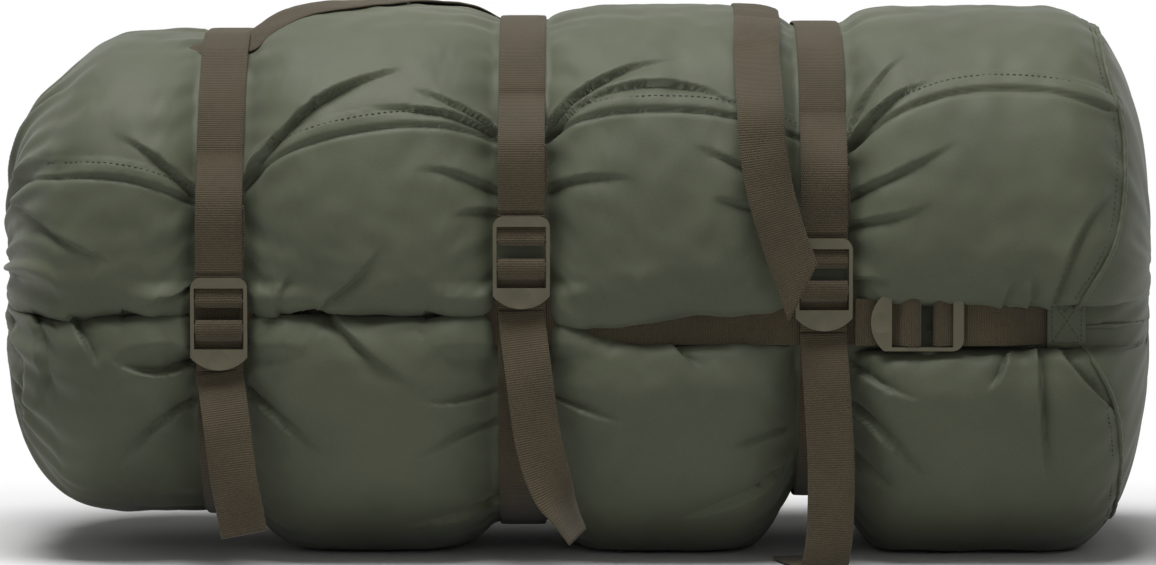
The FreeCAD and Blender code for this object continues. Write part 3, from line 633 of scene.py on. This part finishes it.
def flat_strap(name, route, face=FRONTWARD, cut=0.0, level_across=False):
    """A strap along (x, y, z, turn) points; its outer side looks to face and turn twists it, in degrees.
    cut slants its free end: how much further one edge reaches than the other, as a share of the width.
    level_across keeps its width along X, for a strap that bends away under itself."""
    line = spline(route)
    places, turn = line[:, :3], np.radians(line[:, 3])
    tangent = unit(np.gradient(places, axis=0))
    across = np.cross(tangent, np.array(face, float))
    if level_across:
        across = tangent[:, :1] * tangent - RIGHTWARD
    across = unit(across)
    out = np.cross(across, tangent)
    turned = across * np.cos(turn)[:, None] + out * np.sin(turn)[:, None]
    middles = places[:, None] + turned[:, None] * WEBBING * ACROSS[None, :, None]
    gone = distances(places)
    lengths = np.repeat(gone[:, None], len(ACROSS), axis=1)
    if cut:
        slanted = CUT_REACH * abs(cut) * WEBBING
        begin = gone[-1] - slanted
        for k, share in enumerate(ACROSS):
            short = (0.5 + share * math.copysign(1, cut)) * abs(cut) * WEBBING
            new = np.where(gone > begin, begin + (gone - begin) * (slanted - short) / slanted, gone)
            middles[:, k] = np.stack([np.interp(new, gone, middles[:, k, a]) for a in range(3)], axis=1)
            lengths[:, k] = new
    return webbing_mesh(name, middles, np.cross(turned, tangent), lengths)


def draped_strap(name, route):
    """A strap laid on the skin along (x, degrees, lift) places, half flat and half wrapped across."""
    line = spline([(x, degrees * ARC_PER_DEGREE, lift) for x, degrees, lift in route])
    line[:, 1] /= ARC_PER_DEGREE
    centres = np.array([on_skin(*place) for place in line])
    middles, normals = [], []
    for centre, ahead, lift in zip(centres, unit(np.gradient(centres, axis=0)), line[:, 2]):
        out = np.array([0, centre[1] - AXIS_Y, centre[2] - MOUTH_Z])
        side = unit(np.cross(ahead, unit(out)))
        flat = centre + side * (ACROSS * WEBBING)[:, None]
        angles = np.degrees(np.arctan2(flat[:, 2] - MOUTH_Z, flat[:, 1] - AXIS_Y))
        wrapped = np.array([on_skin(x, angle, lift) for x, angle in zip(flat[:, 0], angles)])
        middles.append(0.5 * wrapped + 0.5 * flat)
        normals.append(np.cross(side, ahead))
    return webbing_mesh(name, middles, normals)


# ---- materials ----
WHITE = (1, 1, 1, 1)
NYLON_PITCH = 0.0009
RIB_PITCH = 0.00125
PICK_PITCH = 0.0012


def linear(r, g, b):
    """An sRGB colour of 0..255 as the linear values that shaders take."""
    values = [c / 255 for c in (r, g, b)]
    return tuple(c / 12.92 if c <= 0.04045 else ((c + 0.055) / 1.055) ** 2.4 for c in values) + (1.0,)


def set_inputs(node, **values):
    """Sets inputs by their names, with _ for each space."""
    for name, value in values.items():
        node.inputs[name.replace("_", " ")].default_value = value


class Tree:
    """A node tree, with short ways to add nodes to it."""

    def __init__(self, tree):
        self.nodes = tree.nodes
        self.link = tree.links.new

    def math(self, operation, *inputs):
        """A Math node whose inputs are numbers or sockets; gives its output."""
        node = self.nodes.new("ShaderNodeMath")
        node.operation = operation
        for socket, value in zip(node.inputs, inputs):
            if isinstance(value, (int, float)):
                socket.default_value = value
            else:
                self.link(value, socket)
        return node.outputs[0]

    def blend(self, first, first_share, second, second_share):
        """The sum of two values, each times its share."""
        products = self.math("MULTIPLY", first, first_share), self.math("MULTIPLY", second, second_share)
        return self.math("ADD", *products)

    def wave(self, kind, axis, pitch):
        """A SINE or COSINE wave along an axis, with its pitch in metres."""
        return self.math(kind, self.math("MULTIPLY", axis, 2 * math.pi / pitch))

    def noise(self, place, scale, detail):
        node = self.nodes.new("ShaderNodeTexNoise")
        set_inputs(node, Scale=scale, Detail=detail)
        self.link(place, node.inputs["Vector"])
        return node.outputs["Fac"]

    def split(self, place):
        """The sockets for X, Y and Z of a place."""
        node = self.nodes.new("ShaderNodeSeparateXYZ")
        self.link(place, node.inputs[0])
        return node.outputs

    def ramp(self, factor, low, high, start=0.3, end=0.7):
        """A colour that goes from low to high as factor goes from start to end."""
        node = self.nodes.new("ShaderNodeValToRGB")
        first, last = node.color_ramp.elements[0], node.color_ramp.elements[1]
        first.position, first.color = start, low
        last.position, last.color = end, high
        self.link(factor, node.inputs["Fac"])
        return node.outputs["Color"]

    def relief(self, shader, height, strength, distance):
        node = self.nodes.new("ShaderNodeBump")
        set_inputs(node, Strength=strength, Distance=distance)
        self.link(height, node.inputs["Height"])
        self.link(node.outputs["Normal"], shader.inputs["Normal"])

    def plain_sight(self):
        """1 for rays from the camera or seen in metal or glass, 0 for rays that carry light."""
        path = self.nodes.new("ShaderNodeLightPath").outputs
        seen = self.math("MAXIMUM", path["Is Camera Ray"], path["Is Glossy Ray"])
        return self.math("MAXIMUM", seen, path["Is Transmission Ray"])

    def turn_white(self, share, lit, kind, output):
        """Shows plain white instead of what is lit, by share."""
        white = self.nodes.new(kind)
        set_inputs(white, Color=WHITE, Strength=1.0)
        mix = self.nodes.new("ShaderNodeMixShader")
        self.link(share, mix.inputs["Fac"])
        self.link(lit, mix.inputs[1])
        self.link(white.outputs[0], mix.inputs[2])
        self.link(mix.outputs["Shader"], self.nodes[output].inputs["Surface"])


def new_material(name, roughness, specular=0.5, sheen=0.0):
    """A material with its tree, its shader and the sockets for places on the object."""
    material = bpy.data.materials.new(name)
    material.use_nodes = True
    tree = Tree(material.node_tree)
    shader = tree.nodes["Principled BSDF"]
    set_inputs(shader, Roughness=roughness, Specular_IOR_Level=specular, Sheen_Weight=sheen)
    return material, tree, shader, tree.nodes.new("ShaderNodeTexCoord").outputs


def nylon():
    """Olive nylon: a fine plain weave, a little cloudy."""
    material, tree, shader, places = new_material("olive_nylon", 0.6, 0.3, 0.1)
    place = places["Object"]
    grain = tree.noise(place, 1100.0, 2.0)
    mixed = tree.blend(tree.noise(place, 14.0, 4.0), 0.6, grain, 0.4)
    colour = tree.ramp(mixed, linear(66, 70, 54), linear(77, 81, 62), 0.35, 0.65)
    tree.link(colour, shader.inputs["Base Color"])
    axes = tree.split(place)
    warp, weft = [tree.wave("SINE", axes[axis], NYLON_PITCH) for axis in "XZ"]
    weave = tree.math("MULTIPLY", warp, weft)
    tree.relief(shader, tree.blend(weave, 0.4, grain, 1.0), 0.3, 0.0002)
    return material


def webbing_material(name, axes_used=None):
    """Ribbed polyester webbing; the ribs run across it and each is made of short picks.
    axes_used names the axes along and across it, where it has no UV."""
    material, tree, shader, places = new_material(name, 0.78, 0.25, 0.15)
    axes = tree.split(places["Object" if axes_used else "UV"])
    along, across = [axes[axis] for axis in axes_used or "XY"]
    rib, half_rib = tree.wave("SINE", along, RIB_PITCH), tree.wave("COSINE", along, 2 * RIB_PITCH)
    woven = tree.math("MULTIPLY", tree.wave("SINE", across, PICK_PITCH), half_rib)
    height = tree.blend(rib, 0.5, woven, 0.45)
    fuzz, patches = tree.noise(places["Object"], 900.0, 2.0), tree.noise(places["Object"], 30.0, 3.0)
    # painted shade: the colour follows the relief height and is darker in the grooves between ribs and picks,
    # mixed with random tone from the noise
    painted_rib_shade_and_tone = tree.blend(height, 0.28, tree.blend(fuzz, 0.5, patches, 0.5), 1.0)
    colour = tree.ramp(painted_rib_shade_and_tone, linear(46, 40, 27), linear(80, 70, 50), 0.15, 0.85)
    tree.link(colour, shader.inputs["Base Color"])
    tree.relief(shader, height, 0.7, 0.00035)
    return material


def speckled(name, roughness, specular, scale, detail, low, high):
    """A plain material whose colour varies a little with noise, with its tree, shader and places."""
    material, tree, shader, places = new_material(name, roughness, specular)
    colour = tree.ramp(tree.noise(places["Object"], scale, detail), linear(*low), linear(*high))
    tree.link(colour, shader.inputs["Base Color"])
    return material, tree, shader, places


nylon_material = nylon()
strap_material = webbing_material("brown_webbing")
upright_webbing = webbing_material("brown_webbing_upright", "ZX")
level_webbing = webbing_material("brown_webbing_level", "XZ")
plastic_material, tree, shader, places = speckled(
    "olive_plastic", 0.45, 0.45, 60.0, 3.0, (72, 67, 48), (83, 78, 58))
tree.relief(shader, tree.noise(places["Object"], 1500.0, 2.0), 0.12, 0.0002)
thread_material = speckled("dark_thread", 0.7, 0.5, 2500.0, 1.0, (44, 46, 34), (66, 68, 52))[0]
metal_material, _, shader, _ = speckled(
    "blackened_metal", 0.4, 0.5, 400.0, 3.0, (40, 40, 34), (70, 68, 58))
set_inputs(shader, Metallic=0.6)


def set_material(piece, material):
    piece.data.materials.clear()
    piece.data.materials.append(material)


def finish_piece(piece, material, nodes, body="sack"):
    """Gives a piece its slot, its material and its body, and hides the CAD nodes that it stands for."""
    set_material(piece, material)
    if nodes:
        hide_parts(*nodes)
    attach(piece, body)
    return piece


def add_fabric(piece, *nodes):
    return finish_piece(piece, nylon_material, nodes)


def add_webbing(piece, *nodes, body="sack"):
    return finish_piece(piece, strap_material, nodes, body)


add_fabric(sack, "body_panel", "packed_load", "base_panel")


# ---- the straps ----
# how far a strap's middle plane is lifted off the fabric, and more where it crosses another strap
ON_FABRIC = 1.4
OVER_STRAP = 2.6
OVER_REAR_STRAP = 3.0
# where the left and the middle girth strap cross the diagonal one, in degrees round the sack
DIAGONAL_AT = [114.0, 58.0]
LOCK_STAND_OFF = 8.7
LOCK_LENGTH = 49.5
LOCK_TOP = [156.0, 189.0, 177.0]
LOCK_Y = [AXIS_Y - NECK["front"][i] - LOCK_STAND_OFF for i in range(3)]
# from a lock's top up to the end of its loop, and down to the end of its bight
LOOP_END = 1.3
BIGHT_END = 40.3
SIDE = ["left", "middle", "right"]
# depths of the layers of webbing behind a lock's plane
FRONT_LAYER = 1.1
BACK_LAYER = 3.9
LOAD_LAYER = 5.4
TAIL_LAYER = 3.4
FOLD_BACK = 38.0
ROUTE_STEP = 20
# how much deeper the lengthwise strap lies where the shut crease hides it
HIDDEN = 7.0


def girth_route(i):
    """The strap's middle line: from the lock's loop up, over, round the back and up to the lock again."""
    y, z = section(STRAP_X[i])
    ay, az = np.gradient(y), np.gradient(z)
    length = np.hypot(ay, az)
    at_strap = np.exp(-(((z - STRAP_Z) / 20.0) ** 4))
    lift = np.full(len(y), ON_FABRIC) + OVER_STRAP * at_strap * (y < AXIS_Y)
    if i < len(DIAGONAL_AT):
        angle = np.degrees(np.arctan2(z - MOUTH_Z, y - AXIS_Y))
        lift += OVER_STRAP * np.exp(-(((angle - DIAGONAL_AT[i]) / 9.0) ** 4))
    else:
        lift += OVER_REAR_STRAP * at_strap * (y > AXIS_Y)
    oy, oz = y - lift * az / length, z + lift * ay / length
    front_y, load_y, up = LOCK_Y[i] + FRONT_LAYER, LOCK_Y[i] + LOAD_LAYER, LOCK_TOP[i]
    points = [(front_y, up + LOOP_END), (front_y, up + FOLD_BACK)]
    low_end = min(up - LOCK_LENGTH, STRAP_Z - 20.0) - 8.0
    started = False
    for k in range(0, len(y), ROUTE_STEP):
        started = started or oz[k] > up + FOLD_BACK + 24.0
        if not started:
            continue
        if k > len(y) // 2 and oz[k] > low_end and oy[k] < 0:
            break
        points.append((oy[k], oz[k]))
    return points + [(load_y, low_end + 10.0), (load_y, up - BIGHT_END)]


for i, side in enumerate(SIDE):
    dense = spline([(STRAP_X[i], y, z) for y, z in girth_route(i)])
    normal = np.cross(RIGHTWARD, unit(np.gradient(dense, axis=0)))
    outward = dense - np.array([STRAP_X[i], AXIS_Y, MOUTH_Z])
    normal *= np.sign(np.sum(normal * outward, axis=1))[:, None]
    middles = dense[:, None] + RIGHTWARD * (ACROSS * WEBBING)[:, None]
    add_webbing(webbing_mesh(side + "_girth_webbing", middles, normal), side + "_girth_strap")
    back_y = LOCK_Y[i] + BACK_LAYER
    add_webbing(flat_strap(side + "_folded_end", [
        (STRAP_X[i], back_y, LOCK_TOP[i] + LOOP_END, 0), (STRAP_X[i] + 1.5, back_y, LOCK_TOP[i] + 20, 0),
        (STRAP_X[i] + 1.0, back_y - 1.0, LOCK_TOP[i] + FOLD_BACK, 0)]))


def level_strap(name, points, face=FRONTWARD):
    """A strap along (x, y) points at the height of the lengthwise strap."""
    return flat_strap(name, [(x, y, STRAP_Z, 0) for x, y in points], face)


def strap_level_y(x):
    return AXIS_Y - extents(x)[2] - ON_FABRIC


length_route = [(164.5, LOCK_Y[2] + LOAD_LAYER), (150, strap_level_y(143) + 0.1)]
length_route += [(x, strap_level_y(x)) for x in (130, 100, 60, 20, -15, -31, -44)]
length_route += [(x, strap_level_y(x) + HIDDEN) for x in (-62, -80, -110, -140, -160)]
length_route += [(x, strap_level_y(x)) for x in (-180, -192, -204)]
length_route += [(-224, strap_level_y(-232) + HIDDEN), (-262, strap_level_y(-262) + 2 * HIDDEN)]
add_webbing(level_strap("front_length_webbing", length_route), "front_length_strap")

front_y = LOCK_Y[2] + FRONT_LAYER
anchor_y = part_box("front_anchor_patch")[0][1] / MM
add_webbing(level_strap("front_anchor_webbing", [
    (206.3, front_y), (222, front_y), (240, (LOCK_Y[2] + anchor_y) / 2 + 2), (252, anchor_y + 2.6),
    (269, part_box("front_anchor_strap")[1][1] / MM - 1.2)]), "front_anchor_strap")

# tails
add_webbing(flat_strap("left_tail_webbing", [
    (-192.5, LOCK_Y[0] + TAIL_LAYER, 105.7, 0), (-191.5, LOCK_Y[0] + TAIL_LAYER - 1.5, 99, 0),
    (-188, -134.5, 78, 4), (-184.5, -136.5, 50, -3), (-181.5, -136, 34, 2), (-179, -134.5, 19, 6)]),
    "left_tail", body="left_tail")
add_webbing(flat_strap("middle_tail_webbing", [
    (-31, LOCK_Y[1] + TAIL_LAYER, 138.7, 0), (-30.5, LOCK_Y[1] + TAIL_LAYER - 1.5, 132, 0),
    (-27, -136, 105, 0), (-22, -138, 70, 6), (-15, -138, 45, 24), (-8, -137, 31, 52), (-1, -136, 18, 64)]),
    "middle_tail", body="middle_tail")
add_webbing(flat_strap("right_tail_webbing", [
    (130.5, LOCK_Y[2] + TAIL_LAYER, 126.6, 0), (130.7, LOCK_Y[2] + TAIL_LAYER - 1.5, 120, 0),
    (132, -134.5, 95, 2), (134, -135.5, 60, -2), (134, -135, 30, 2), (132.5, -134.5, 10, 4),
    (130.5, -131, 2.4, 0), (127, -122, 1.4, 0), (121, -102, 1.4, 0), (117, -84, 1.4, 0)],
    level_across=True), "right_tail")

# the webbing over the top and down the back
BACK_Y = 130.0
REAR_LEVEL = AXIS_Y + BACK_Y + ON_FABRIC
REAR_LOCK_Y = AXIS_Y + BACK_Y + LOCK_STAND_OFF
REAR_REACH = 125.0
DRAPED = 1.6
THROWN_X = 97
HANG_Y = -147.0
rear_angle = math.degrees(math.atan2(STRAP_Z - MOUTH_Z, REAR_REACH))


def rear_lift(x):
    return REAR_LEVEL - on_skin(x, rear_angle, 0)[1]


add_webbing(draped_strap("diagonal_webbing", [
    (-217, 122, -7), (-207, 119, -1.5), (-193, 115, DRAPED), (-150, 106, DRAPED), (-110, 95, DRAPED),
    (-70, 78, DRAPED), (-31, 58, DRAPED), (5, 44, DRAPED), (38, 28, DRAPED), (64, 11, DRAPED),
    (82, -2, DRAPED), (100, rear_angle, rear_lift(100)), (118, rear_angle, rear_lift(118))]),
    "diagonal_length_strap")
rear_load_y = REAR_LOCK_Y - LOAD_LAYER
add_webbing(level_strap("rear_length_webbing", [
    (164.7, rear_load_y), (156, rear_load_y - 0.4), (143, REAR_LEVEL), (130, REAR_LEVEL), (116, REAR_LEVEL)],
    BACKWARD), "rear_length_strap")
rear_front_y = REAR_LOCK_Y - FRONT_LAYER
add_webbing(level_strap("rear_anchor_webbing", [
    (206.3, rear_front_y), (222, rear_front_y - 0.6),
    (240, (REAR_LOCK_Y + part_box("rear_anchor_patch")[0][1] / MM) / 2),
    (269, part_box("rear_anchor_strap")[0][1] / MM + 1.2)], BACKWARD), "rear_anchor_strap")

# the free end of the rear strap, thrown over the top
rear_tail_lift = REAR_LOCK_Y - TAIL_LAYER - on_skin(146.4, rear_angle, 0)[1]
add_webbing(draped_strap("rear_tail_webbing", [
    (146.4, rear_angle, rear_tail_lift), (138, rear_angle + 1.5, 8 + rear_lift(138)),
    (126, rear_angle + 9, 7 + rear_lift(126)), (118, rear_angle + 20, 6.5), (109, 26, 5), (101, 46, 3.2),
    (97.5, 68, DRAPED), (THROWN_X, 90, DRAPED), (THROWN_X, 111.6, DRAPED)]), "rear_tail")
hang = []
for degrees, lift in ((111.4, 0.4), (117, 1.2), (123, 2.2), (129, 3.0)):
    place = on_skin(THROWN_X, degrees, DRAPED + lift)
    hang.append((THROWN_X - 0.1 * (degrees - 111), place[1], place[2], 0))
hang += [(96, -136, 248, 0), (97.0, -145.5, 226, -2), (101, HANG_Y, 203, 3), (107.5, HANG_Y, 180, 4),
         (116, HANG_Y, 156, 0), (122.5, HANG_Y, 138, 0)]
add_webbing(flat_strap("hanging_tail_webbing", hang, (0, -1, 0.25), cut=-0.95),
            "rear_tail_end", body="rear_tail_end")

# ---- locks and eyelet, as in CAD ----
for name in SIDE + ["front", "rear"]:
    small = level_webbing if name in ("front", "rear") else upright_webbing
    set_material(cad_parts[name + "_lock"], plastic_material)
    set_material(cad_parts[name + "_lock_loop"], small)
    set_material(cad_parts[name + "_lock_bight"], small)
set_material(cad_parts["cord_eyelet"], metal_material)

# ---- trim: piping, patches, hem and stitches ----
BASE_SEAM_X = 293.0
PATCH_START = 250.5
PATCH_LENGTH = 21.0
PATCH_HALF = 14.5
HEM_SIDES = 20


def lumpy_ring(name, route, radius, lump, waves, sides=8):
    """A round tube along a closed line of points, with lumps where its stitches draw it in."""
    places = np.array(route)
    tangent = unit(np.roll(places, -1, axis=0) - np.roll(places, 1, axis=0))
    side = unit(np.cross(tangent, RIGHTWARD))
    up = np.cross(side, tangent)
    turn = np.linspace(0, 2 * np.pi, sides, endpoint=False)
    phase = np.arange(len(places)) / len(places) * 2 * np.pi * waves
    size = radius * (1 + lump * np.sin(phase) * np.cos(phase * 0.37))
    ring = places[:, None] + size[:, None, None] * (
        np.cos(turn)[None, :, None] * side[:, None] + np.sin(turn)[None, :, None] * up[:, None])
    ring = np.concatenate([ring, ring[:1]])
    return make_mesh(name, ring.reshape(-1, 3), grid_faces(len(ring), sides, True).tolist())


def base_seam_x(z):
    """X of the seam round the base, drawn in towards the straps' anchors."""
    drawn_in = 30.0 * math.exp(-abs((z - STRAP_Z) / 34.0) ** 1.6)
    return BASE_SEAM_X - drawn_in - 9.0 * smooth(225, 275, z)


def seam_point(degrees, lift):
    """A point on the base seam at an angle round the sack."""
    x = BASE_SEAM_X
    for _ in range(4):
        x = base_seam_x(on_skin(x, degrees, 0)[2])
    return on_skin(x, degrees, lift)


piping_route = [seam_point(degrees, 0.6) for degrees in np.arange(-90, 270, 0.8)]
add_fabric(lumpy_ring("base_piping", piping_route, 1.5, lump=0.22, waves=150), "base_seam_binding")


def patch_level(node, side):
    """Y of the outer side of a patch at each x, from its CAD box; side is -1 at the front."""
    low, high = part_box(node)
    near, far = (low[1] / MM, high[1] / MM) if side < 0 else (high[1] / MM, low[1] / MM)
    return lambda x: near + (far - near) * np.clip((x - PATCH_START) / PATCH_LENGTH, 0, 1) ** 1.5


def patch(name, y_of, side, node):
    """The fabric patch sewn over the end of an anchor strap."""
    count = len(ACROSS)
    middles = []
    for x in np.linspace(PATCH_START, PATCH_START + PATCH_LENGTH, 18):
        z = STRAP_Z + np.linspace(-PATCH_HALF, PATCH_HALF, count)
        pucker = 0.35 * np.sin(z * 0.9 + x) + 0.5 * np.abs(np.linspace(-1, 1, count)) ** 3
        middles.append(np.stack([np.full(count, x), y_of(x) + side * pucker * 0.5, z], axis=1))
    add_fabric(webbing_mesh(name, middles, [[0.0, side, 0.0]] * len(middles)), node)


front_patch_level = patch_level("front_anchor_patch", -1)
rear_patch_level = patch_level("rear_anchor_patch", 1)
patch("front_patch", front_patch_level, -1, "front_anchor_patch")
patch("rear_patch", rear_patch_level, 1, "rear_anchor_patch")


def mouth_ring():
    """The gathered hem, as a ring with a pleat for each fold of the fabric."""
    around = np.linspace(0, 2 * np.pi, 240, endpoint=False)
    about = np.linspace(0, 2 * np.pi, HEM_SIDES, endpoint=False)
    pleat = 1 + 0.16 * np.sin(26 * around) + 0.06 * np.sin(43 * around + 1)
    ring = []
    for turn, size in zip(around, pleat):
        radius = 15.0 + 8.2 * size * np.cos(about)
        x = -HALF + 6.4 - 4.0 * size * np.sin(about)
        ring.append(np.stack([x, AXIS_Y + radius * np.cos(turn), MOUTH_Z + radius * np.sin(turn)], axis=1))
    ring.append(ring[0])
    faces = grid_faces(len(ring), HEM_SIDES, True).tolist()
    add_fabric(make_mesh("mouth_hem_fabric", np.array(ring).reshape(-1, 3), faces), "mouth_hem")


mouth_ring()


def stitches(name, lines, long, gap, thick):
    """Short raised threads along lines of points, each pointed at both ends and six-sided."""
    points, faces = [], []
    for line in lines:
        places = spline(line, step=0.5)
        gone = distances(places)
        for begin in np.arange(0.4, gone[-1] - long, long + gap):
            stops = [begin + d for d in (0, 0.5, long - 0.5, long)]
            ends = [np.array([np.interp(stop, gone, places[:, k]) for k in range(3)]) for stop in stops]
            along = unit(ends[3] - ends[0])
            side = unit(np.cross(along, np.array([0.31, 0.77, 0.55])))
            up = np.cross(side, along)
            base = len(points)
            points.append(ends[0])
            for middle in ends[1:3]:
                for turn in range(6):
                    angle = turn * math.pi / 3
                    points.append(middle + thick * (math.cos(angle) * side + math.sin(angle) * up))
            points.append(ends[3])
            for turn in range(6):
                following = (turn + 1) % 6
                faces.append((base, base + 1 + following, base + 1 + turn))
                faces.append((base + 1 + turn, base + 1 + following, base + 7 + following, base + 7 + turn))
                faces.append((base + 13, base + 7 + turn, base + 7 + following))
    return finish_piece(make_mesh(name, points, faces), thread_material, [])


def box_stitch(level_of, side):
    """A sewn box and its two diagonals, as lines of points on a patch."""
    left, right, half = 253, 269, 11.5
    corners = [(left, -half), (right, -half), (right, half), (left, half)]
    ends = list(zip(corners, corners[1:] + corners[:1]))
    ends += [(corners[0], corners[2]), (corners[3], corners[1])]
    lines = []
    for (ax, az), (bx, bz) in ends:
        places = [(ax, az), ((ax + bx) / 2, (az + bz) / 2), (bx, bz)]
        lines.append([(x, level_of(x) + side * 0.9, STRAP_Z + z) for x, z in places])
    return lines


top_stitch = [skin_at(x, z + SEAM_BAND - 1.8, 0.25) for x, z in curved(SEAM)[6:-4:2]]
stitches("seam_stitches", [top_stitch], long=2.0, gap=1.3, thick=0.3)
piping_line = []
for degrees in np.arange(-88, 268, 6.0):
    place = seam_point(degrees, 0.3)
    piping_line.append(on_skin(place[0] - 4.5, degrees, 0.3))
stitches("base_stitches", [piping_line], long=2.0, gap=1.2, thick=0.3)
box_lines = box_stitch(front_patch_level, -1) + box_stitch(rear_patch_level, 1)
stitches("anchor_stitches", box_lines, long=1.8, gap=0.8, thick=0.28)
strap_lines = []
for i in range(3):
    for rise in (FOLD_BACK - 3.0, FOLD_BACK - 6.5):
        z = LOCK_TOP[i] + rise
        y = LOCK_Y[i] + FRONT_LAYER - 0.95
        strap_lines.append([(STRAP_X[i] + x, y, z) for x in (-11.5, 0, 11.5)])
strap_stitches = stitches("strap_stitches", strap_lines, long=1.6, gap=0.7, thick=0.3)


# ---- room, light and camera ----
FLOOR_SIZE = 12
FLOOR_SHADE = 0.72
FLOOR_NEAR = (0.36, 0.17)
FLOOR_FADE = 2.4
FILL = 0.14
SENSOR = 36.0
VIEW_WIDTH = 0.644
CAMERA_DISTANCE = 3.0
CAMERA_ELEVATION = math.radians(3.6)
CAMERA_TARGET = Vector((-0.0008, 0.0, 0.1455))


def backdrop_material():
    """A pale floor that keeps the shadow near the sack and is plain white to the camera further off."""
    material, tree, shader, places = new_material("pale_floor", 0.9, 0.1)
    set_inputs(shader, Base_Color=(FLOOR_SHADE, FLOOR_SHADE, FLOOR_SHADE, 1))
    axes = tree.split(places["Object"])
    squares = []
    for axis, near in zip("XY", FLOOR_NEAR):
        share = tree.math("DIVIDE", axes[axis], near)
        squares.append(tree.math("MULTIPLY", share, share))
    fade = tree.nodes.new("ShaderNodeMapRange")
    fade.interpolation_type = "SMOOTHSTEP"
    set_inputs(fade, From_Min=1.0, From_Max=FLOOR_FADE)
    tree.link(tree.math("SQRT", tree.math("ADD", *squares)), fade.inputs["Value"])
    share = tree.math("MULTIPLY", fade.outputs["Result"], tree.plain_sight())
    tree.turn_white(share, shader.outputs["BSDF"], "ShaderNodeEmission", "Material Output")
    return material


def build_room():
    bpy.ops.mesh.primitive_plane_add(size=FLOOR_SIZE, location=(0, 0, 0))
    floor = bpy.context.object
    floor.name = "floor"
    floor.data.materials.append(backdrop_material())
    world = bpy.data.worlds.new("studio")
    bpy.context.scene.world = world
    world.use_nodes = True
    tree = Tree(world.node_tree)
    fill = tree.nodes["Background"]
    set_inputs(fill, Color=WHITE, Strength=FILL)
    tree.turn_white(tree.plain_sight(), fill.outputs["Background"], "ShaderNodeBackground", "World Output")


def area_light(name, place, target, size, power):
    data = bpy.data.lights.new(name, "AREA")
    data.shape = "RECTANGLE"
    data.size, data.size_y = size
    data.energy = power
    lamp = link_object(name, data)
    lamp.location = place
    lamp.rotation_euler = (Vector(target) - Vector(place)).to_track_quat("-Z", "Y").to_euler()


def build_camera():
    data = bpy.data.cameras.new("camera")
    data.sensor_width = SENSOR
    data.lens = SENSOR * CAMERA_DISTANCE / VIEW_WIDTH
    camera = link_object("camera", data)
    back = Vector((0, -math.cos(CAMERA_ELEVATION), math.sin(CAMERA_ELEVATION)))
    camera.location = CAMERA_TARGET + back * CAMERA_DISTANCE
    camera.rotation_euler = (-back).to_track_quat("-Z", "Y").to_euler()
    bpy.context.scene.camera = camera


build_room()
build_camera()
area_light("key", (-0.3, -0.48, 2.4), (0, 0, 0.12), (1.5, 0.9), 72)
area_light("front", (0.7, -2.6, 1.1), (0, 0, 0.15), (1.4, 1.0), 3.8)
bpy.context.scene.view_settings.view_transform = "Standard"
